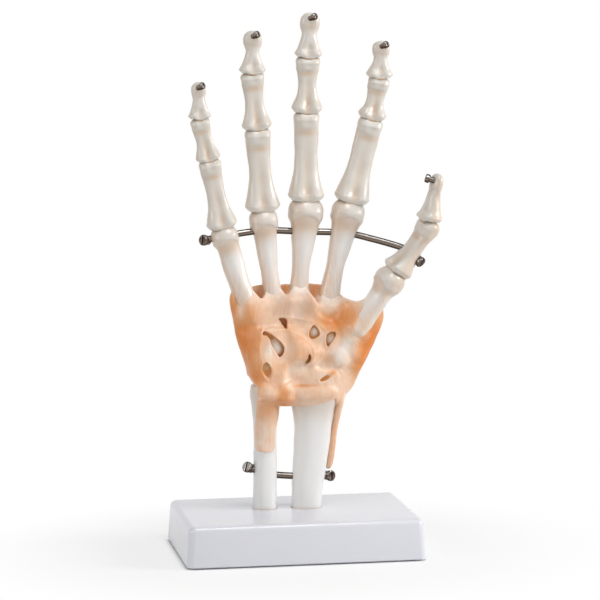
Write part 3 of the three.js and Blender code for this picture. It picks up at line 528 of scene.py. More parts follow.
for name in CARPALS:
    carpal = frame["nodes"][name].copy()
    carpal.data = carpal.data.copy()
    carpal.parent = None
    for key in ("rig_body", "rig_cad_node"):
        if key in carpal:
            del carpal[key]
    scene.collection.objects.link(carpal)
    carpal.name = f"{name}_bone"
    carpal.data.materials.clear()
    choose(carpal, verts=lambda vert: True)
    bpy.ops.mesh.remove_doubles(threshold=0.01 * MM)
    bpy.ops.object.mode_set(mode="OBJECT")
    rounded(carpal, CARPAL_GRAIN, 14)
    knobs = [lump(f"{name}_knob", middle, halves) for middle, halves in CARPAL_KNOBS.get(name, [])]
    if knobs:
        carpal = joined([carpal] + knobs, f"{name}_bone")
        rounded(carpal, CARPAL_GRAIN, 4)
    pick(carpal)
    bpy.ops.object.shade_smooth()
    knead(carpal, 0.35, 0.1)
    spots = points_of(carpal) - STAND
    # Tan and peach are painted all over as the shade inside the windows, and taken away at the knob tops that
    # the light reaches.
    stain_and_shade = np.ones(len(spots))
    for at_x, at_z, reach in CARPAL_LIT_SPOTS:
        stain_and_shade -= 0.8 * np.exp(-((spots[:, 0] - at_x) ** 2 + (spots[:, 2] - at_z) ** 2) / reach ** 2)
    paint(carpal, "tan", stain_and_shade)
    paint(carpal, "peach", stain_and_shade)
    paint(carpal, "pale", np.full(len(spots), 0.6))
    carpal.data.materials.append(ivory)
    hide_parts(name)
    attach(carpal, "hand")
    carpal_surfaces.append(carpal)

# Finger bones
# Five metacarpals and fourteen phalanges, each cast by itself. A head is a roll with two knuckles and a
# groove between them, or a ball on a metacarpal, and it turns in the cup of the next bone. Tan is painted
# along the joint lines as dark joints, and under the heads, in the palm-side hollows and along the side
# edges as painted shade. Widths and depths are halves.
FINGERS = {
    "index": {
        "points": [(17.5, 1, 129), (29.4, 0.5, 184.3), (41.1, -1, 231.2), (45.6, -2.5, 254.3),
                   (46.8, -4.5, 277.2)],
        "metacarpal": {"foot": 7, "waist": 4.8, "head": 9.3, "radius": 8, "bow": -0.6},
        "proximal": {"foot": 9.6, "waist": 6.4, "head": 7.1, "radius": 5.1},
        "middle": {"foot": 7.8, "waist": 4.8, "head": 6.1, "radius": 4},
        "distal": {"foot": 7.3, "waist": 3.7, "tuft": 4.9},
    },
    "middle": {
        "points": [(2, 2, 128), (6.4, 1.5, 185.2), (6.4, 0, 234.8), (6.9, -1.5, 265.3), (7.9, -3.5, 292.2)],
        "metacarpal": {"foot": 6.6, "waist": 4.7, "head": 9.6, "radius": 8.2, "bow": -0.4},
        "proximal": {"foot": 9.7, "waist": 6.2, "head": 7.2, "radius": 5.2},
        "middle": {"foot": 8.4, "waist": 4.9, "head": 6.8, "radius": 4.1},
        "distal": {"foot": 7.6, "waist": 4.1, "tuft": 5.4},
    },
    "ring": {
        "points": [(-10, 1.5, 129), (-17.1, 0.5, 180.7), (-20.4, -1, 226.2), (-23.5, -2.5, 257),
                   (-23.5, -4.5, 282.7)],
        "metacarpal": {"foot": 6, "waist": 4.7, "head": 7.9, "radius": 7.3, "bow": -0.4},
        "proximal": {"foot": 9.4, "waist": 5.9, "head": 7.2, "radius": 5},
        "middle": {"foot": 8.1, "waist": 5, "head": 6.5, "radius": 4},
        "distal": {"foot": 7.2, "waist": 3.6, "tuft": 5.1},
    },
    "little": {
        "points": [(-23, -1, 128), (-38.7, -2, 172.5), (-46.6, -3.5, 210.4), (-52.1, -5, 233.4),
                   (-53.4, -6.5, 255.6)],
        "metacarpal": {"foot": 6.4, "waist": 5.6, "head": 7.6, "radius": 6.8, "bow": -0.8},
        "proximal": {"foot": 8.4, "waist": 4.9, "head": 6.2, "radius": 4.4},
        "middle": {"foot": 6.7, "waist": 4.4, "head": 5.4, "radius": 3.5},
        "distal": {"foot": 6.2, "waist": 3.3, "tuft": 3.9},
    },
    "thumb": {
        "points": [(31, -7, 119.5), (50.3, -11.5, 148.2), (70.2, -15, 176.6), (75.6, -17, 206)],
        "roll": 65,
        "metacarpal": {"foot": 7.4, "waist": 5.8, "head": 8.2, "radius": 7.6, "bow": 0.5},
        "proximal": {"foot": 8.3, "waist": 5.4, "head": 6.9, "radius": 5.5},
        "distal": {"foot": 7.6, "waist": 4.1, "tuft": 4.5},
    },
}
BONE_SIDES = 60
CUP_STEPS = (0.0, 0.2, 0.38, 0.55, 0.7, 0.82, 0.91, 0.97)
CUP_GAP = 0.35
CUP_RIM = 0.66
BONE_SQUARENESS = 2.35
PER_GAP = 7


def mixed(a, b, t):
    return a + (b - a) * t


def dome_rows(length, half, radius, ball_like):
    heights = np.sin(np.linspace(0, math.pi / 2, 16))
    depth = radius * np.sqrt(1 - heights ** 2)
    share = np.sqrt(np.clip(1 - heights ** (2.2 if ball_like else 3.4), 0, 1))
    return np.stack([length + radius * heights, heights * 0, half * share, depth, depth], 1)


def metacarpal_rows(length, size):
    foot, waist, head, radius, bow = (size[key] for key in ("foot", "waist", "head", "radius", "bow"))
    shaft = smooth_rows([
        (-0.5, 0, foot * 0.82, foot * 0.8, foot * 0.85),
        (2.5, 0, foot, foot * 0.98, foot),
        (length * 0.2, bow * 0.7, mixed(foot, waist, 0.55), waist * 1.1, waist * 1.15),
        (length * 0.45, bow, waist, waist * 0.92, waist * 0.95),
        (length * 0.68, bow * 0.6, mixed(waist, head, 0.28), radius * 0.62, radius * 0.64),
        (length - radius * 0.95, 0, head * 0.8, radius * 0.72, radius * 0.76),
        (length - radius * 0.45, 0, head * 0.985, radius * 0.86, radius * 0.92),
        (length, 0, head, radius, radius),
    ], PER_GAP)
    return np.vstack([shaft[:-1], dome_rows(length, head, radius, True)])


def phalanx_rows(length, size, below):
    foot, waist, head, radius = (size[key] for key in ("foot", "waist", "head", "radius"))
    rim = below["radius"] * CUP_RIM
    depth = min(below["radius"] * 0.93, foot * 0.86)
    shaft = smooth_rows([
        (rim, 0, foot * 0.8, depth * 0.8, depth * 0.84),
        (rim + foot * 0.16, 0, foot * 0.94, depth * 0.96, depth * 0.98),
        (rim + foot * 0.36, 0, foot, depth, depth),
        (rim + foot * 0.56, 0, foot * 0.95, depth * 0.92, depth * 0.97),
        (mixed(rim, length, 0.36), 0, mixed(foot, waist, 0.78), radius * 0.82, radius),
        (mixed(rim, length, 0.56), 0, waist, radius * 0.66, radius * 0.92),
        (mixed(rim, length, 0.78), 0, mixed(waist, head, 0.35), radius * 0.64, radius * 0.8),
        (length - radius * 0.75, 0, head * 0.93, radius * 0.74, radius * 0.84),
        (length, 0, head, radius, radius),
    ], PER_GAP)
    return np.vstack([shaft[:-1], dome_rows(length, head, radius, False)])


def distal_rows(length, size, below):
    foot, waist, tuft = (size[key] for key in ("foot", "waist", "tuft"))
    rim = below["radius"] * CUP_RIM
    depth = min(below["radius"] * 1.05, foot * 0.8)
    return smooth_rows([
        (rim, 0, foot * 0.82, depth * 0.8, depth * 0.84),
        (rim + foot * 0.16, 0, foot * 0.96, depth * 0.94, depth * 0.98),
        (rim + foot * 0.33, 0, foot, depth * 0.96, depth),
        (rim + foot * 0.52, 0, foot * 0.9, depth * 0.9, depth * 0.94),
        (rim + foot * 0.74, 0, mixed(foot, waist, 0.45), depth * 0.8, depth * 0.84),
        (mixed(rim, length, 0.41), 0, waist * 1.12, waist * 0.88, waist * 0.92),
        (mixed(rim, length, 0.54), 0, waist, waist * 0.8, waist * 0.78),
        (mixed(rim, length, 0.64), 0, mixed(waist, tuft, 0.6), tuft * 0.56, tuft * 0.46),
        (mixed(rim, length, 0.75), 0, tuft, tuft * 0.66, tuft * 0.5),
        (mixed(rim, length, 0.88), 0, tuft * 0.93, tuft * 0.62, tuft * 0.48),
        (length - 0.9, 0, tuft * 0.62, tuft * 0.42, tuft * 0.34),
        (length - 0.15, 0, tuft * 0.26, tuft * 0.18, tuft * 0.15),
        (length, 0, 0, 0, 0),
    ], PER_GAP)


def hollow(u, w, middle_u, middle_w, wide, tall):
    return np.exp(-((u - middle_u) / wide) ** 2 - ((w - middle_w) / tall) ** 2)


def carve(u, v, w, kind, size, length, below):
    """The knuckles, lips, grooves and pits that a cast bone has, as moves of its surface."""
    palmar = step(-v, 0, 1.5)
    foot = size["foot"]
    if kind != "distal":
        head, radius = size["head"], size["radius"]
        on_head = step(w, length - radius * 0.8, length - radius * 0.2)
        if kind == "metacarpal":
            margin = length - radius * (0.2 + 0.75 * (u / head) ** 2)
            lip = 0.1 * radius * step(w, margin - 0.06 * radius, margin + 0.07 * radius)
            lip = lip * (1 - step(w, length - radius * 0.1, length + radius * 0.6))
            v = v - lip * palmar * step(0.9 - np.abs(u) / head, 0, 0.25)
            v = v - 0.45 * hollow(u, w, 0, length * 0.5, size["waist"] * 0.35, length * 0.3) * palmar
        else:
            groove = 0.11 * np.exp(-(u / (0.3 * head)) ** 2) * on_head
            v, w = v * (1 - groove), length + (w - length) * (1 - groove * step(w, length, length + 1))
            margin = length - radius * (0.95 - 0.35 * (u / head) ** 2)
            lip = 0.1 * radius * step(w, margin - 0.2 * radius, margin + 0.3 * radius)
            lip = lip * (1 - step(w, length - radius * 0.1, length + radius * 0.4))
            v = v - lip * palmar * step(0.95 - np.abs(u) / head, 0, 0.3)
            v = v + 0.9 * hollow(u, w, 0, length * 0.47, size["waist"] * 0.5, length * 0.24) * palmar
        for side in (-1, 1):
            pit = hollow(v, w, 0, length - radius * 0.1, radius * 0.35, radius * 0.38)
            u = u - side * 0.06 * head * pit * step(side * u, head * 0.5, head * 0.8)
    if below:
        rim = below["radius"] * CUP_RIM
        for side in (-1, 1):
            bump = hollow(u, w, side * foot * 0.6, rim + foot * 0.36, foot * 0.26, foot * 0.3)
            v = v - 0.12 * foot * bump * palmar
        v = v + 0.13 * foot * hollow(u, w, 0, rim + foot * 0.6, foot * 0.24, foot * 0.42) * palmar
        wave = np.exp(-(u / (0.26 * foot)) ** 2) - 0.6 * np.exp(-((np.abs(u) / foot - 0.52) / 0.17) ** 2)
        share = {"proximal": 0.2, "middle": 0.55, "distal": 0.75}[kind]
        near_rim = 1 - step(w, rim, rim + foot * 0.45)
        w = w - share * wave * palmar * near_rim
        w = w + 0.13 * foot * (np.abs(u) / foot) ** 2.4 * near_rim
    return u, v, w


def beside(frame_of, u, v, w):
    """Points across, to the back of and along a bone, set in the space that the bone stands in."""
    origin, across, back, along, _ = frame_of
    return origin + u[:, None] * across + v[:, None] * back + w[:, None] * along


def kinds_of(plan):
    return [kind for kind in ("metacarpal", "proximal", "middle", "distal") if kind in plan]


def body_of(finger, kind):
    """The body that a bone moves with. The hand rod locks the thumb's first phalanx to the hand."""
    fixed = kind == "metacarpal" or (finger, kind) == ("thumb", "proximal")
    return "hand" if fixed else f"{finger}_{kind}"


def finger_bone(name, kind, frame_of, size, below):
    origin, across, back, along, length = frame_of
    if kind == "metacarpal":
        rows = metacarpal_rows(length, size)
        caps = np.array([rows[0] * (1, 1, share, share, share) for share in (0, 0.5, 0.85)])
    else:
        rows = distal_rows(length, size, below) if kind == "distal" else phalanx_rows(length, size, below)
        caps = np.array([rows[0] * (1, 1, share, share, share) for share in CUP_STEPS])
    stations = np.vstack([caps, rows])
    cap_count = len(caps)

    def bone_point(ring, angle):
        u, v, w = oval_at(stations, ring, angle, BONE_SQUARENESS)
        if below:
            share = np.clip(np.abs(u) / below["head"], 0, 0.97)
            ball = below["radius"] * (1 - share ** (3 if kind == "proximal" else 5)) ** (1 / 2.6) + CUP_GAP
            cup = np.sqrt(np.maximum(ball ** 2 - v ** 2, 0))
            w = np.where(ring < cap_count, np.maximum(cup, w), w)
        return beside(frame_of, *carve(u, v, w, kind, size, length, below))

    bone = drawn_out(name, BONE_SIDES, len(stations) - 1, bone_point)
    knead(bone, 0.22, 0.05)
    away = points_of(bone) - origin
    u, v, w = away @ across, away @ back, away @ along
    palmar = step(-v, 0, 1.5)
    # Tan painted as shade along the side edges, under the heads, in the palm-side hollows, in the pits of the
    # feet and on the palm side of the tuft; the tan along the joint lines is a dark joint stain.
    stain_and_shade = 0.34 * step(np.abs(u) / np.maximum(np.interp(w, rows[:, 0], rows[:, 2]), 0.1), 0.7, 1.02)
    if kind != "distal":
        radius, head = size["radius"], size["head"]
        stain_and_shade += 0.35 * step(w, length + radius * 0.5, length + radius * 0.85)
        under = 0.62 if kind == "metacarpal" else 1.0
        under_lip = hollow(u, w, 0, length - radius * (under + 0.3), head * 0.75, radius * 0.36)
        stain_and_shade += (0.4 if kind == "metacarpal" else 0.52) * under_lip * palmar
        if kind != "metacarpal":
            stain_and_shade += 0.28 * hollow(u, w, 0, length * 0.5, size["waist"] * 0.4, length * 0.2) * palmar
    if below:
        rim = below["radius"] * CUP_RIM
        stain_and_shade += 0.85 * (1 - step(w, rim - 0.1, rim + 0.55))
        foot_pit = hollow(u, w, 0, rim + size["foot"] * 0.55, size["foot"] * 0.26, size["foot"] * 0.5)
        stain_and_shade += (0.2 if kind == "distal" else 0.4) * foot_pit * palmar
    else:
        stain_and_shade += 0.03 * (1 - step(w, length * 0.2, length * 0.5))
    if kind == "distal":
        stain_and_shade += 0.3 * hollow(u, w, 0, length * 0.74, size["tuft"] * 0.7, length * 0.13) * palmar
    paint(bone, "tan", stain_and_shade)
    peach_and_shade = np.zeros(len(w))
    if kind == "metacarpal":
        top = length - radius * (0.2 + 0.75 * (u / head) ** 2)
        peach_and_shade = step(length - w, length * 0.15, length * 0.85) * (0.25 + 0.5 * palmar)
        # Peach in a band below the head's crescent lip and on the left side of the shaft is painted shade;
        # the rest is the tint of the ligament along the shaft.
        peach_and_shade += 0.5 * palmar * (1 - step(w, top - 0.6, top + 0.4)) * step(w, length - 2.2 * radius, length)
        peach_and_shade += 0.4 * step(-u, 0, size["waist"] * 0.9) + 0.1 * step(w, length * 0.6, length * 0.9)
    paint(bone, "peach", peach_and_shade)
    pale_of_kind = {"metacarpal": 1.0, "proximal": 0.1, "middle": 0, "distal": 0.15}[kind]
    paint(bone, "pale", pale_of_kind * (1 - 0.8 * step(w, length * 0.62, length * 0.95)))
    bone.data.materials.append(ivory)
    return bone


finger_frames = {}
metacarpal_surfaces = []
NODE_NAMES = {
    "metacarpal": "metacarpal_", "proximal": "proximal_phalanx_",
    "middle": "middle_phalanx_", "distal": "distal_phalanx_",
}
for finger, plan in FINGERS.items():
    below = None
    for kind, start, end in zip(kinds_of(plan), plan["points"], plan["points"][1:]):
        frame_of = bone_frame(start, end, plan.get("roll", 0))
        finger_frames[finger, kind] = frame_of
        bone = finger_bone(f"{finger}_{kind}_bone", kind, frame_of, plan[kind], below)
        below = plan[kind]
        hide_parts(NODE_NAMES[kind] + finger)
        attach(bone, body_of(finger, kind))
        if kind == "metacarpal":
            metacarpal_surfaces.append(bone)

# Elastic cords
# A thin braided cord strings each finger together: it is tied to the rod, runs through the bones and is
# held by the pin in the fingertip. It shows only in the narrow gaps of the joints, so each joint gets
# the short length that bends there.
CORD_RADIUS = 0.5
CORD_REACH = 5.5

cord_braid, tree, shader, place = new_material("braided_elastic", {"Roughness": 0.85, "Sheen Weight": 0.3})
wave = {"Vector": place, "Scale": 900, "Distortion": 1.5}
strand = add_node(tree, "TexWave", wave, "Fac", bands_direction="DIAGONAL")
fill(shader, {
    "Base Color": ramp(tree, strand, [(0, (0.62, 0.58, 0.5)), (1, (0.88, 0.86, 0.8))]),
    "Normal": bumped(tree, strand, 0.4, 0.0001),
})


def drawn_wire(name, points, radius, sides=4):
    """A round wire through the given points."""
    clear_selection()
    bpy.ops.curve.primitive_nurbs_path_add(radius=MM)
    wire = bpy.context.object
    wire.data.splines.clear()
    spline = wire.data.splines.new("POLY")
    spline.points.add(len(points) - 1)
    for knot, point in zip(spline.points, points):
        knot.co = (*(np.array(point) * MM), 1)
    wire.location = (0, 0, 0)
    wire.data.bevel_depth = radius * MM
    wire.data.bevel_resolution = sides
    wire.data.use_fill_caps = True
    pick(wire)
    bpy.ops.object.convert(target="MESH")
    wire = settle(bpy.context.object, name)
    bpy.ops.object.shade_smooth_by_angle(angle=math.radians(40))
    return wire


for finger, plan in FINGERS.items():
    kinds = kinds_of(plan)
    for lower, upper in zip(kinds, kinds[1:]):
        if body_of(finger, lower) == body_of(finger, upper):
            continue
        origin, _, _, along, _ = finger_frames[finger, upper]
        lower_along = finger_frames[finger, lower][3]
        stops = [origin - lower_along * CORD_REACH * t for t in (1, 0.75, 0.5, 0.25)] + [origin]
        stops += [origin + along * (plan[lower]["radius"] + CORD_REACH) * t for t in (0.25, 0.5, 0.75, 1)]
        cord = drawn_wire(f"{finger}_cord_at_{upper}", stops, CORD_RADIUS)
        cord.data.materials.append(cord_braid)
        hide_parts(f"elastic_cord_{finger}")
        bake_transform(cord)

# Steel rods and pins
# Two dark steel rods hold the hand and the forearm in line, bent to lie through the bones, and each end
# has a slotted cap screwed on. Five small slotted pins stop the cords in the fingertips. All are turned
# from the same steel, with faint turning marks and a brownish tarnish, and its colour carries bands of
# painted reflection, brighter or darker by how far the surface faces up.
HAND_ROD = [(-48.2, -1.5, 171), (-38, -1.5, 172.9), (-17, 0.5, 175.2), (5, 1.5, 174.2), (27.5, 0.5, 173.2),
            (42, -4, 170.1), (55.5, -9.5, 166.3), (60.5, -12.6, 164), (65, -14.5, 159.4)]
ARM_ROD = [(-24.5, 1, 45.1), (-14, 1, 41.6), (2, 1, 39.9), (18.4, 1, 39.6)]
ROD_RADIUS = 1.85
CAP = {"neck": 2.6, "neck_height": 2.6, "head": 3.0, "head_height": 1.9, "round_off": 0.6,
       "slot": (1.0, 0.8), "foot": 0.0}
PIN = {"neck": 1.6, "neck_height": 0.9, "head": 1.9, "head_height": 2.5, "round_off": 0.65,
       "slot": (0.8, 0.6), "foot": 1.8}
HEAD_LIP = 0.15
HEAD_EDGE = 0.08
CAP_FACES = {
    "hand_rod_cap_ulnar": Vector((-0.75, -0.62, 0.1)),
    "hand_rod_cap_radial": Vector((0.5, -0.66, -0.56)),
    "arm_rod_cap_ulnar": Vector((-0.72, -0.6, 0.36)),
    "arm_rod_cap_radial": Vector((0.55, -0.83, 0.05)),
}
PIN_LEAN, THUMB_LEAN = (0.6, 0.68, 0.42), (-0.72, 0.68, 0.1)
PIN_OUT, THUMB_PIN_OUT = -0.3, 0.8
THUMB_PIN_HEAD = 2.4

steel, tree, shader, place = new_material("dark_turned_steel", {"Metallic": 1})
# The turn attribute is a painted reflection: by how far the surface faces up, it moves the ramp through its
# bright and dark bands, and the noise adds tarnish.
tarnish_and_reflection = worked_out(tree, "MULTIPLY_ADD", noise_at(tree, place, 260, 4), 0.16, attribute(tree, "turn"))
scratch = noise_at(tree, stretched(tree, place, (120, 2500, 2500)), 1, 2)
fill(shader, {
    "Base Color": ramp(tree, tarnish_and_reflection, [
        (0.1, (0.045, 0.034, 0.027)), (0.3, (0.12, 0.085, 0.065)), (0.45, (0.27, 0.21, 0.17)),
        (0.57, (0.07, 0.05, 0.04)), (0.7, (0.36, 0.33, 0.3)), (0.8, (0.26, 0.235, 0.215)),
        (0.9, (0.06, 0.05, 0.044)), (1, (0.05, 0.04, 0.034)),
    ]),
    "Roughness": ranged(tree, scratch, 0.3, 0.7, 0.1, 0.22),
    "Normal": bumped(tree, scratch, 0.15, 0.0001),
})


def finish_steel(piece):
    """Gives a piece the steel, with a painted reflection that makes it brighter or darker by how far the
    surface faces up.
    """
    normals = np.array([vert.normal.z for vert in piece.data.vertices])
    # Painted reflection: the turn value follows how far each point faces up.
    paint(piece, "turn", 0.42 + 0.5 * normals)
    piece.data.materials.clear()
    piece.data.materials.append(steel)


def turned_head(name, at, direction, neck, neck_height, head, head_height, round_off, slot, foot):
    """A slotted steel head on its neck, standing at a point and facing along a direction."""
    clear_selection()
    middle = (0, 0, (neck_height - foot) / 2 * MM)
    tall = (neck_height + foot) * MM
    bpy.ops.mesh.primitive_cylinder_add(vertices=48, radius=neck * MM, depth=tall, location=middle)
    piece = settle(bpy.context.object, name)
    under, top = neck_height * MM, (neck_height + head_height) * MM
    choose(piece, faces=lambda face: face.normal.z > 0.9)
    bpy.ops.mesh.extrude_region_move(TRANSFORM_OT_translate={"value": (0, 0, HEAD_LIP * MM)})
    bpy.ops.transform.resize(value=(head / neck, head / neck, 1), center_override=(0, 0, under))
    bpy.ops.mesh.extrude_region_move(TRANSFORM_OT_translate={"value": (0, 0, (head_height - HEAD_LIP) * MM)})
    choose(piece, edges=lambda edge: all(vert.co.z > top - 0.05 * MM for vert in edge.verts))
    bpy.ops.mesh.bevel(offset=round_off * MM, segments=6, affect="EDGES")
    bpy.ops.object.mode_set(mode="OBJECT")
    width, depth = slot
    slot_size = (width * MM, 3 * head * MM, 2 * depth * MM)
    bpy.ops.mesh.primitive_cube_add(size=1, location=(0, 0, top), scale=slot_size)
    cut_out(piece, settle(bpy.context.object, "slot_cutter"))
    sharp = {"limit_method": "ANGLE", "angle_limit": math.radians(40)}
    apply_modifier(piece, "BEVEL", width=HEAD_EDGE * MM, segments=2, **sharp)
    bpy.ops.object.shade_smooth_by_angle(angle=math.radians(35))
    turn = Vector(direction).normalized().to_track_quat("Z", "Y").to_matrix().to_4x4()
    piece.matrix_world = Matrix.Translation(Vector(at)) @ turn
    return settle(piece, name)


for rod_name, route, body in (("hand_rod", HAND_ROD, "hand"), ("arm_rod", ARM_ROD, "stand")):
    rod = drawn_wire(f"{rod_name}_bar", smooth_rows(route, 10) + STAND, ROD_RADIUS, 8)
    finish_steel(rod)
    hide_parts(rod_name)
    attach(rod, body)
    for side in ("ulnar", "radial"):
        node = f"{rod_name}_cap_{side}"
        outward = CAP_FACES[node].normalized()
        low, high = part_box(node)
        seat = (low + high) / 2 - outward * (CAP["neck_height"] + CAP["head_height"]) / 2 * MM
        cap = turned_head(f"{node}_head", seat, outward, **CAP)
        finish_steel(cap)
        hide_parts(node)
        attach(cap, body)

for finger in FINGERS:
    _, across, back, along, _ = finger_frames[finger, "distal"]
    sideways, forward, upward = THUMB_LEAN if finger == "thumb" else PIN_LEAN
    outward = Vector(across * sideways - back * forward + along * upward).normalized()
    low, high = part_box(f"tip_pin_{finger}")
    sizes = {**PIN, "head": THUMB_PIN_HEAD} if finger == "thumb" else PIN
    seat = (low + high) / 2 + outward * (THUMB_PIN_OUT if finger == "thumb" else PIN_OUT) * MM
    pin = turned_head(f"{finger}_tip_pin", seat, outward, **sizes)
    finish_steel(pin)
    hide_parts(f"tip_pin_{finger}")
    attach(pin, f"{finger}_distal")

# Soft ligament sleeve
# One soft orange casting over the wrist, slightly see-through, pale peach where it lies on bone. It runs
# up the palm side of each metacarpal and fades out there, makes a thin web and flap round the thumb, and
# sends one strap down each arm bone. Windows show the carpal bones; the window walls and the films in
# them are coloured darker orange-brown the deeper they lie below the skin, as painted shade.
SLEEVE_BOTTOM = 79.5
SLEEVE_TOP = 147.0
SLEEVE_BACK_RISE = -1.5
SLEEVE_GROW = 1.1
WEB_BOTTOM, WEB_TOP, WEB_GROW = 106, 137.5, 0.9
BAND_HALF = 1.7
# The edges of the sleeve on both sides: height, place across and depth.
THUMB_BAND = [(79, 15, 1), (83, 21, 0), (91, 29.5, 0), (98, 32, -1), (112, 38.5, -4), (126, 43.8, -8),
              (138, 46, -10), (148, 47, -11)]
LITTLE_BAND = [(79, -17, 1), (90, -17.3, 0), (96, -19, 0), (102, -22.5, 0), (108, -25.5, 0), (120, -29.5, -1),
               (138, -32.5, -2), (148, -33.5, -2)]
WRAP_SIDES = 96
WRAP_BLUR = 0.8
POLE_SHARE = 0.02
carpal_boxes = {name: [np.array(corner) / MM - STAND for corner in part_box(name)] for name in CARPALS}
metacarpal_shapes = {}
for finger, plan in FINGERS.items():
    origin, _, _, along, length = finger_frames[finger, "metacarpal"]
    metacarpal_shapes[finger] = (origin - STAND, along, metacarpal_rows(length, plan["metacarpal"]))


def band_oval(line, height):
    line = np.array(line, float)
    x, y = (np.interp(height, line[:, 0], line[:, column]) for column in (1, 2))
    return x, y, BAND_HALF, BAND_HALF


def metacarpal_oval(finger, height, thin=1.0):
    origin, along, rows = metacarpal_shapes[finger]
    rise = (height - origin[2]) / along[2]
    if rise < -1:
        return []
    half = np.interp(rise, rows[:, 0], rows[:, 2])
    centre = origin + along * rise
    return [(centre[0], centre[1], half * 1.02, half * 0.95 * thin)]


def carpal_oval(name, height, stretch=1.0):
    low, high = carpal_boxes[name]
    middle, half = (low + high) / 2, (high - low) / 2
    share = abs(height - middle[2]) / (half[2] * 1.02 * stretch)
    if share >= 1:
        return []
    share = (1 - share ** 2.8) ** (1 / 2.8)
    return [(middle[0], middle[1], half[0] * share, half[1] * share)]


def arm_oval(rows, middle_y, height):
    rows = np.array(rows, float)
    rise = min(height - BOLT_LIFT, rows[-1, 0])
    shift, half, palm, back = (np.interp(rise, rows[:, 0], rows[:, column]) for column in (1, 2, 3, 4))
    fade = min(max(1 - (height - 103) / 12, 0.2), 1)
    return [(shift, middle_y + (back - palm) / 2, half * fade, (back + palm) / 2 * fade)]


def palm_ovals(height):
    found = [band_oval(THUMB_BAND, height), band_oval(LITTLE_BAND, height)]
    for finger in ("index", "middle", "ring", "little"):
        found += metacarpal_oval(finger, height)
    for name in CARPALS:
        found += carpal_oval(name, height, 3.4 if name == "pisiform" else 1.0)
    return found + arm_oval(RADIUS_ROWS, RADIUS_DEPTH, height) + arm_oval(ULNA_ROWS, ULNA_DEPTH, height)


def web_ovals(height):
    found = [band_oval(THUMB_BAND, height)] + metacarpal_oval("thumb", height, 0.5)
    found += metacarpal_oval("index", height, 0.8)
    return found + carpal_oval("trapezium", height) + carpal_oval("trapezoid", height)


def wrapped(name, ovals_at, low, high, grow, levels, back_rise):
    """A closed form that wraps, level by level, the outlines that a function gives for a height."""
    angles = np.linspace(-math.pi, math.pi, WRAP_SIDES + 1)[:-1]
    turn = 0.02
    rings = []
    for height in np.linspace(low, high, levels + 1):
        ovals = [oval for shift in (-3, 0, 3) for oval in ovals_at(height + shift)]
        x, y, wide, deep = np.array(ovals).T[:, :, None]

        def reach(angle):
            out = x * np.cos(angle) + y * np.sin(angle) + np.hypot(wide * np.cos(angle), deep * np.sin(angle))
            most = out.max(0)
            return grow + most + WRAP_BLUR * np.log(np.exp((out - most) / WRAP_BLUR).sum(0))

        far = reach(angles)
        slope = (reach(angles + turn) - reach(angles - turn)) / (2 * turn)
        lift = back_rise * ((height - low) / (high - low)) ** 3 * np.clip(np.sin(angles), 0, 1)
        rings.append(np.stack([
            far * np.cos(angles) - slope * np.sin(angles),
            far * np.sin(angles) + slope * np.cos(angles),
            height + lift,
        ], 1))
    rings = [rings[0].mean(0) + (rings[0] - rings[0].mean(0)) * POLE_SHARE] + rings
    rings = rings + [rings[-1].mean(0) + (rings[-1] - rings[-1].mean(0)) * POLE_SHARE]
    poles = [np.tile(ring.mean(0), (WRAP_SIDES, 1)) for ring in (rings[0], rings[-1])]
    stack = np.array([poles[0]] + rings + [poles[1]])

    def point(ring, angle):
        column = np.rint((angle + math.pi) / (2 * math.pi) * WRAP_SIDES).astype(int) % WRAP_SIDES
        return stack[ring, column] + STAND

    return drawn_out(name, WRAP_SIDES, len(stack) - 1, point)


def round_loop(points, per_gap=6):
    """A closed smooth loop through the given points."""
    points = list(points)
    rows = smooth_rows(points[-2:] + points + points[:2], per_gap)
    return rows[2 * per_gap:(2 + len(points)) * per_gap]


def prism(name, outline, near, far):
    """An upright block between two depths whose outline, seen from the palm side, is the given loop."""
    clear_selection()
    bpy.ops.mesh.primitive_cylinder_add(vertices=len(outline), radius=1, depth=2)
    piece = bpy.context.object
    for vert in piece.data.vertices:
        turn = math.atan2(vert.co.x, vert.co.y) / (2 * math.pi) * len(outline)
        x, z = outline[round(turn) % len(outline)]
        depth = near if vert.co.z < 0 else far
        vert.co = Vector((x + STAND[0], depth + STAND[1], z)) * MM
    choose(piece, faces=lambda face: True)
    bpy.ops.mesh.normals_make_consistent(inside=False)
    bpy.ops.object.mode_set(mode="OBJECT")
    piece.name = name
    return piece


def cut_fast(piece, cutter, operation="DIFFERENCE"):
    apply_modifier(piece, "BOOLEAN", object=cutter, operation=operation, solver="MANIFOLD")
    bpy.data.objects.remove(cutter)


def thickened(piece, more):
    """A copy of a piece that stands out from it all round."""
    clear_selection()
    shell = piece.copy()
    shell.data = piece.data.copy()
    scene.collection.objects.link(shell)
    apply_modifier(shell, "DISPLACE", strength=more * MM, mid_level=0)
    return shell


def tongue(finger, reach, start_grow):
    """The sleeve round the foot of a metacarpal, which thins out along the bone until it sinks in."""
    frame_of = finger_frames[finger, "metacarpal"]
    rows = metacarpal_rows(frame_of[-1], FINGERS[finger]["metacarpal"])
    rows = rows[rows[:, 0] < reach + 2]
    grow = mixed(start_grow, -TONGUE_SINK, step(rows[:, 0], reach * 0.3, reach))[:, None]
    rows = np.hstack([rows[:, :2], np.maximum(rows[:, 2:] + grow, 0.2)])
    ends = [rows[0] * (1, 1, 0, 0, 0), rows[-1] * (1, 1, 0, 0, 0)]
    rows = np.vstack([ends[0], rows, ends[1]])

    def tongue_point(ring, angle):
        return beside(frame_of, *oval_at(rows, ring, angle, BONE_SQUARENESS))

    return drawn_out(f"{finger}_tongue", 48, len(rows) - 1, tongue_point)


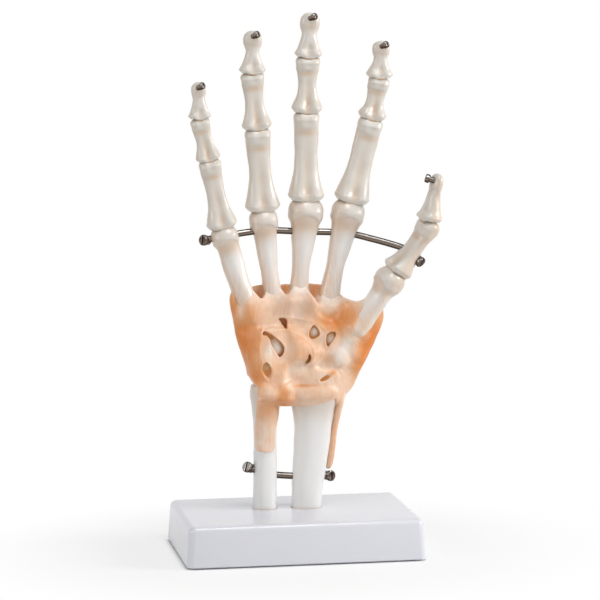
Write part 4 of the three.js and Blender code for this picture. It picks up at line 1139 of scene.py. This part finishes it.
def surface_tree(pieces):
    """One search tree over the triangles of several pieces, in millimetres."""
    points, polygons = [], []
    for piece in pieces:
        first = len(points)
        points += [vert.co / MM for vert in piece.data.vertices]
        polygons += [[first + index for index in polygon.vertices] for polygon in piece.data.polygons]
    return BVHTree.FromPolygons(points, polygons)


def front_of(tree, x, z):
    """How deep the palm side of a surface lies at a place seen from the front."""
    hit = tree.ray_cast(Vector((x + STAND[0], -1.5 * FAR, z)), Vector((0, 1, 0)))[0]
    return hit.y - STAND[1] if hit else USUAL_FRONT


FAR = 40
USUAL_FRONT = -8.0
# Outlines seen from the palm side, each as places across and heights.
SHEET_POCKET = [(-31, 128.5), (29, 128.5), (29, 160), (-31, 160)]
ULNA_BARE = [(-44, 96.5), (-25.3, 96), (-21.4, 90), (-21.9, 80), (-22.6, 65), (-44, 65)]
RADIUS_EDGE = [(-3, 70), (-3, 78.6), (2, 79.2), (9, 80), (16.9, 81.6), (21.5, 83.7), (21.5, 70)]
THUMB_GAP = [(25.6, 145), (26.3, 141.3), (28.3, 137.9), (32.2, 136.2), (36.1, 137.2), (38.9, 141), (41, 150),
             (25.6, 150)]
NOTCHES = [
    [(-35.8, 160), (-35.2, 147), (-33.8, 140), (-32.6, 134.5), (-31.6, 131.6), (-30.2, 132.6), (-28, 138),
     (-24.6, 146), (-22, 160)],
    [(-28.5, 160), (-26.5, 150), (-22.8, 143.8), (-18.8, 138.2), (-16.7, 142.5), (-15.2, 147), (-13, 160)],
    [(-13, 160), (-10.6, 151), (-7.6, 144.5), (-5.3, 139.4), (-2.6, 142.5), (0, 147), (2, 160)],
    [(4, 160), (5.4, 150), (7, 143), (11.7, 134.9), (13.9, 139.5), (16.6, 143.5), (19, 148), (22, 160)],
    [(24, 160), (24.5, 146), (24.4, 139), (27, 134), (40, 134), (44, 160)],
]
ULNAR_STRAP = [(-20.9, 86), (-21.7, 78), (-22.4, 68), (-22.4, 60), (-22.3, 57.2), (-21.7, 55.5), (-20, 54.9),
               (-17, 54.7), (-14, 54.8), (-12.4, 55.2), (-11.6, 56.6), (-11.5, 59), (-11.4, 63), (-10.7, 68),
               (-8.9, 74.4), (-7, 80), (-6, 86)]
# The radial strap: height, place across, half width and half depth.
RADIAL_STRAP = [(86, 25.6, 2.6, 6), (80, 24.4, 2.5, 7), (72, 22.8, 2.2, 5.6), (65.3, 21.5, 2.2, 4.6),
                (57.7, 20.7, 2.15, 3.8), (50, 19.9, 2.1, 3.4), (46, 19.2, 1.9, 3.1), (44, 18.8, 1.2, 2),
                (43.4, 18.7, 0, 0)]
# Lumps: place across, height, half width, half height and how far each rises from the skin.
LUMPS = {
    "rim": (9.5, 87.4, 13, 4.8, 1.8), "ulnar_rim": (-16.5, 88.4, 6.5, 4.2, 1.3),
    "thumb_side": (23.8, 107.5, 5.6, 7, 1.7), "little_side": (-16.6, 112, 3.4, 6.5, 0.9),
    "heel": (-1, 99, 12, 5, 0.9), "thumb_foot": (30, 118, 5, 5, 0.6),
}
LUMP_DEPTH = 3.0
RIDGES = {
    "arc": [(-20.7, 118.4), (-19, 123.3), (-14, 127.3), (-7.1, 128.9), (2, 127.4), (10.2, 125.2),
            (14.8, 121.6)],
    "left": [(-20.7, 118.5), (-21.4, 111.8), (-20.9, 106.3), (-19.6, 104.5)],
    "lip": [(10.3, 94.4), (14.9, 97.6), (21, 100.6), (24.5, 97.7)],
    "fold": [(-5.3, 122.1), (0.2, 119.3), (5.7, 115), (8.2, 110), (6.8, 104)],
    "cross": [(22, 120), (15.5, 110.5), (8, 102.5), (-2, 96), (-11, 92.5)],
}
# Windows: how deep each is cut, how deep the film in it lies, and its outline.
WINDOWS = {
    "a": (3.2, 2.4, [(-10.8, 127.3), (-7.9, 128), (-6.2, 127.4), (-5.8, 125.4), (-6.3, 123), (-7.4, 123.1),
                     (-8.1, 125.3), (-9, 126.4)]),
    "b": (6.5, 2.6, [(-20.5, 118.5), (-20.1, 120.6), (-18.2, 121.6), (-15.7, 120.5), (-13.2, 118.4),
                     (-10.1, 115.6), (-8.5, 113.3), (-8.5, 110.5), (-9.6, 108.7), (-11.2, 108.2),
                     (-12.8, 110.6), (-14.2, 113.4), (-15.2, 116.3), (-17.4, 118.7)]),
    "c": (2.2, 1.2, [(-19.1, 104.4), (-17.3, 104.6), (-15.9, 102), (-15.3, 98.8), (-15.9, 96.3),
                     (-17.3, 96.2), (-18.9, 98.5), (-20, 101.7)]),
    "d": (3.2, 2.2, [(5.4, 109.6), (6.1, 107.6), (5.7, 105.2), (4.3, 103.1), (2.4, 101.9), (1.7, 102.2),
                     (3.4, 104.2), (4.4, 106.4), (4.7, 108.9)]),
    "e": (7.0, 2.0, [(8.3, 123.9), (10, 123), (11.4, 120), (11.2, 118.9), (9.1, 117.6), (7.2, 117.3),
                     (6.3, 118.5), (6.5, 120.8)]),
    "f": (8.5, 2.0, [(16, 119), (17.9, 120.2), (20, 120), (20.4, 118), (20, 116), (19.1, 114.2),
                     (16.9, 112.3), (15.8, 113.1), (15.6, 115.8)]),
    "g": (3.2, 0.75, [(11.9, 93.9), (12.8, 95.7), (14.9, 96.9), (17.6, 97.2), (19.6, 98.6), (21, 99.2),
                      (20.8, 98.3), (19.3, 96.7), (17.2, 95.2), (14.9, 94), (12.8, 93.6)]),
}
SLEEVE_GRAIN = 0.5
COARSE_GRAIN = SLEEVE_GRAIN * 1.3
# Deeper and paler patches: place across, height, half width, half height and how much more orange. The
# line above the rim roll and the spot inside window g are painted shade, and the pale patch on the
# thumb-side lump is partly a painted highlight.
TONE_PATCHES = [
    (-30, 118, 9, 20, 0.5), (-35, 140, 4, 12, 0.4), (-26, 100, 5, 8, 0.25), (44, 112, 9, 16, 0.5),
    (27, 128, 9, 8, 0.42), (13, 126, 6, 5, 0.12), (-8, 81, 6, 5, 0.26), (-17, 79, 6, 5, 0.2),
    (23.5, 107, 5.5, 7, -0.4), (35, 125, 4.5, 6, -0.4), (28.5, 116.5, 4, 5, -0.25), (42, 112, 6, 14, 0.4),
    (36, 104, 5, 8, 0.3), (10, 87, 12, 4, 0.1), (4.5, 91.6, 9, 0.9, 0.3), (-8.5, 87.5, 3, 4, 0.2),
    (17, 105.5, 3, 3.5, 0.25), (18.5, 126.5, 6, 3.5, 0.2), (-22, 97, 4, 6, 0.15),
    (-15.5, 109, 3.5, 6, -0.15), (5, 101, 12, 5, -0.14), (11, 87, 13, 5, -0.16), (-16, 90, 5, 4, -0.18),
    (-18, 112, 3, 6, -0.15), (-17, 98, 6, 5, 0.14), (-18, 64, 8, 11, -0.14), (-17, 74, 6, 4, 0.1),
    (21, 60, 6, 30, 0.1), (-31.5, 132.5, 2.6, 5, -0.4), (1.3, 130.5, 8, 7, -0.13),
    (18.5, 135, 6, 5.5, -0.16), (18.8, 98.2, 2.2, 1.2, 0.45), (19.5, 123.5, 5, 3.5, 0.18),
]
TONE = 0.27
TONE_TOP = 0.05
DRAPE = 0.85
DRAPE_OVER = 1.2
DRAPE_REACH = 5
BARE_REACH = 9
BACK_SWELL = 1.5
BACK_SWELL_AT = (6, 101, 15, 12)
TONGUE_TOP = 147
INDEX_LOWER = 6
RING_LOWER = 3
TONGUE_SINK = 1.6
# How far each tongue reaches along its metacarpal, and how thick it starts.
TONGUES = {
    "index": (26, 1.2), "middle": (26, 1.2), "ring": (26, 1.2), "little": (15, 1.0), "thumb": (17, 1.0),
}
CARPAL_COVER = 0.9
STRAP_COVER = 1.35
WINDOW_GROW = 0.5
RIM_RADIUS, RIM_SINK = 0.5, 0.2
RIDGE_RADIUS, RIDGE_SINK = 0.7, 0.3
FILM_HALF = 0.6
FILM_OVERLAP = 1.2
HIDDEN_SLIMMER = 0.9
PIT_SHADE_START, PIT_SHADE_END = 0.2, 0.75

wrap_piece = wrapped("palm_wrap", palm_ovals, SLEEVE_BOTTOM, SLEEVE_TOP, SLEEVE_GROW, 30, SLEEVE_BACK_RISE)
cut_fast(wrap_piece, prism("pocket_cutter", SHEET_POCKET, -4.5, 3.5))
cut_fast(wrap_piece, prism("ulna_cutter", ULNA_BARE, -FAR, FAR))
cut_fast(wrap_piece, prism("edge_cutter", RADIUS_EDGE, -FAR, -3))
for outline in NOTCHES:
    cut_fast(wrap_piece, prism("notch_cutter", outline, -FAR, -4))
parts = [wrap_piece, wrapped("thumb_web", web_ovals, WEB_BOTTOM, WEB_TOP, WEB_GROW, 16, 0)]
for part in parts:
    cut_fast(part, prism("thumb_gap_cutter", round_loop(THUMB_GAP), -FAR, FAR))
parts += [tongue(finger, *sizes) for finger, sizes in TONGUES.items()]
parts += [thickened(bone, CARPAL_COVER) for bone in carpal_surfaces]
strap = thickened(arm_surfaces[1], STRAP_COVER)
cut_fast(strap, prism("strap_outline", ULNAR_STRAP, -FAR, 2.5), "INTERSECT")
strap_rows = smooth_rows(RADIAL_STRAP, 5)
strap_rows = np.vstack([strap_rows[0] * (1, 1, 0, 0), strap_rows])[::-1]


def strap_point(ring, angle):
    height, middle, half, deep = strap_rows[ring].T
    u, v = half * power(np.cos(angle), 0.8), deep * power(np.sin(angle), 0.8)
    return np.stack([middle + u, 1 + v, height], 1) + STAND


straps = [strap, drawn_out("radial_strap", 32, len(strap_rows) - 1, strap_point)]

# The two bones under the thumb's side are made slimmer, so that they stay in the sleeve as the wrist bends.
for bone in carpal_surfaces:
    if bone.name.startswith(("scaphoid", "trapezium")):
        apply_modifier(bone, "DISPLACE", strength=-HIDDEN_SLIMMER * MM, mid_level=0)
bones_inside = surface_tree(arm_surfaces + carpal_surfaces + metacarpal_surfaces)
sleeve = joined(parts, "wrist_sleeve")
rounded(sleeve, COARSE_GRAIN, 3)
thumb_foot, thumb_along = (Vector(finger_frames["thumb", "metacarpal"][column]) for column in (0, 3))
thumb_side = Vector((thumb_along.z, 0, -thumb_along.x)).normalized()


def bare_share(spot):
    """How bare the bones are at a place: 1 above the tongues and on a tapering strip of the thumb's."""
    rise = (spot - thumb_foot).dot(thumb_along)
    off_axis = (spot - thumb_foot - thumb_along * rise).length
    aside = abs((spot - thumb_foot).dot(thumb_side) - 1 - 0.1 * rise)
    half = min(1.5 + 0.33 * (rise + 2), 4.3) + 1.5 * max(rise - 14, 0)
    on_thumb = step(rise, -6, -1) * (1 - step(aside, half - 1.2, half + 1.4)) * (1 - step(off_axis, 8, 12))
    index_side, ring_side = float(step(spot.x, 9, 16)), 1 - float(step(spot.x, -11, -5))
    bare_above = TONGUE_TOP - INDEX_LOWER * index_side - RING_LOWER * ring_side
    return max(float(step(spot.z, bare_above - 9, bare_above + 1)), float(on_thumb))


# The sleeve is drawn in towards the bones below it, and where they are bare it sinks in and out of sight.
for vert in sleeve.data.vertices:
    spot = vert.co / MM
    near, outward, _, gap = bones_inside.find_nearest(spot)
    bare = bare_share(spot)
    over = mixed(DRAPE_OVER, -TONGUE_SINK, bare)
    height = gap if outward.dot(spot - near) > 0 else -gap
    if height > over:
        reach = DRAPE_REACH + BARE_REACH * bare * (1 - float(step(spot.y, 0, 5)))
        near_enough = float(1 - step(gap, reach, reach + 4))
        move = (near + outward * over - spot) * mixed(DRAPE, 1.0, bare) * near_enough
        hug = bare * (1 - float(step(gap, 1.6, 3.2)))
        vert.co += Vector((move.x * hug, move.y, move.z * hug)) * MM
    swell = hollow(spot.x, spot.z, *BACK_SWELL_AT)
    vert.co.y += BACK_SWELL * float(step(spot.y, 6, 10)) * swell * MM
sleeve.data.update()
apply_modifier(sleeve, "SMOOTH", factor=0.5, iterations=8)
skin = surface_tree([sleeve])
mounds = []
for name, (x, z, wide, tall, rise) in LUMPS.items():
    mounds.append(lump(name, (x, front_of(skin, x, z) + LUMP_DEPTH - rise, z), (wide, LUMP_DEPTH, tall)))
sleeve = joined([sleeve] + mounds, "wrist_sleeve")
rounded(sleeve, COARSE_GRAIN, 12)
skin = surface_tree([sleeve])
whole_skin = surface_tree([sleeve] + straps)
extras = []
cutters = []
for name, (depth, film_depth, outline) in WINDOWS.items():
    outline = round_loop(outline, 4)
    middle_x, middle_z = outline.mean(0)
    away = outline - (middle_x, middle_z)
    outward = away / np.linalg.norm(away, axis=1)[:, None]
    outline = outline + outward * WINDOW_GROW
    front = front_of(skin, middle_x, middle_z)
    cutters.append(prism(f"window_{name}", outline, -FAR, front + depth))
    rim = [(x, front_of(skin, x, z) + RIM_SINK, z) for x, z in outline + outward * 0.35]
    extras.append(drawn_wire(f"window_rim_{name}", np.array(rim + rim[:2]) + STAND, RIM_RADIUS))
    # Each film is a thin sheet of the casting in its window; it lies below the skin and so takes the dark pit
    # colour as painted shade.
    half_wide, half_tall = np.abs(away).max(0) + FILM_OVERLAP
    halves = (half_wide, FILM_HALF, half_tall)
    extras.append(lump(f"film_{name}", (middle_x, front + film_depth + FILM_HALF, middle_z), halves))
cut_fast(sleeve, joined(cutters, "window_cutters"))
for name, route in RIDGES.items():
    route = smooth_rows(route, 6)
    line = [(x, front_of(skin, x, z) + RIDGE_SINK, z) for x, z in route]
    extras.append(drawn_wire(f"ridge_{name}", np.array(line) + STAND, RIDGE_RADIUS))
sleeve = joined([sleeve] + straps + extras, "wrist_sleeve")
rounded(sleeve, SLEEVE_GRAIN, 3)
knead(sleeve, 0.16, 0.06)
pick(sleeve)
bpy.ops.object.shade_smooth()

spots = points_of(sleeve)
cover = np.array([bones_inside.find_nearest(Vector(spot))[3] for spot in spots])
deep = []
for spot in spots:
    near, outward, _, gap = whole_skin.find_nearest(Vector(spot))
    deep.append(gap if outward.dot(Vector(spot) - near) < 0 else 0)
deep = np.array(deep)
x, y, z = (spots - STAND).T
tone = mixed(TONE, TONE_TOP, step(z, 131, 143) * step(-y, -1, 2)) + 0.02 * np.clip(cover, 0, 8)
on_back = step(y, 0, 4)
for at_x, at_z, wide, tall, more in TONE_PATCHES:
    tone += more * hollow(x, z, at_x, at_z, wide, tall) * (1 - on_back * (tall < 6))
tone += 0.25 * step(z, 132, 140) * step(y, 1, 3)
paint(sleeve, "cover", tone)
# The pit value is painted shade: the casting below the skin, on the window walls and films, is coloured
# darker the deeper it lies.
paint(sleeve, "pit", step(deep, PIT_SHADE_START, PIT_SHADE_END))

silicone, tree, shader, place = new_material("orange_soft_casting", {
    "IOR": 1.43, "Subsurface Weight": 0.25, "Subsurface Radius": (1.6, 0.7, 0.35), "Subsurface Scale": 0.0012,
})
cloudy = noise_at(tree, place, 130, 4)
fibre = noise_at(tree, stretched(tree, place, (1300, 1300, 90)), 1, 3)
shade = worked_out(tree, "ADD", attribute(tree, "cover"), ranged(tree, cloudy, 0.3, 0.7, -0.08, 0.09))
shade = worked_out(tree, "ADD", shade, ranged(tree, fibre, 0.35, 0.65, -0.05, 0.06))
tint = ramp(tree, shade, [
    (0, (0.92, 0.82, 0.74)), (0.2, (0.86, 0.64, 0.49)), (0.38, (0.83, 0.53, 0.35)),
    (0.6, (0.78, 0.37, 0.16)), (0.95, (0.74, 0.24, 0.05)),
])
# The pit colour is painted shade inside the windows.
fill(shader, {
    "Base Color": tinted(tree, attribute(tree, "pit"), tint, (0.56, 0.22, 0.06)),
    "Roughness": ranged(tree, cloudy, 0.3, 0.7, 0.26, 0.42),
    "Normal": bumped(tree, fibre, 0.35, 0.0002),
})
sleeve.data.materials.clear()
sleeve.data.materials.append(silicone)
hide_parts("wrist_ligament")
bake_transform(sleeve)

# Plate, screws and bolts
# The bottom plate and the screws and bolts under the base are right as plain solids, so they only take
# the finish of the block and of the rods.
for node, finish in (
    [("base_plate", block_plastic), ("bone_bolt_radius", steel), ("bone_bolt_ulna", steel)]
    + [(f"plate_screw_{number}", steel) for number in (1, 2, 3, 4)]
):
    solid = frame["nodes"][node]
    solid.data.materials.clear()
    solid.data.materials.append(finish)
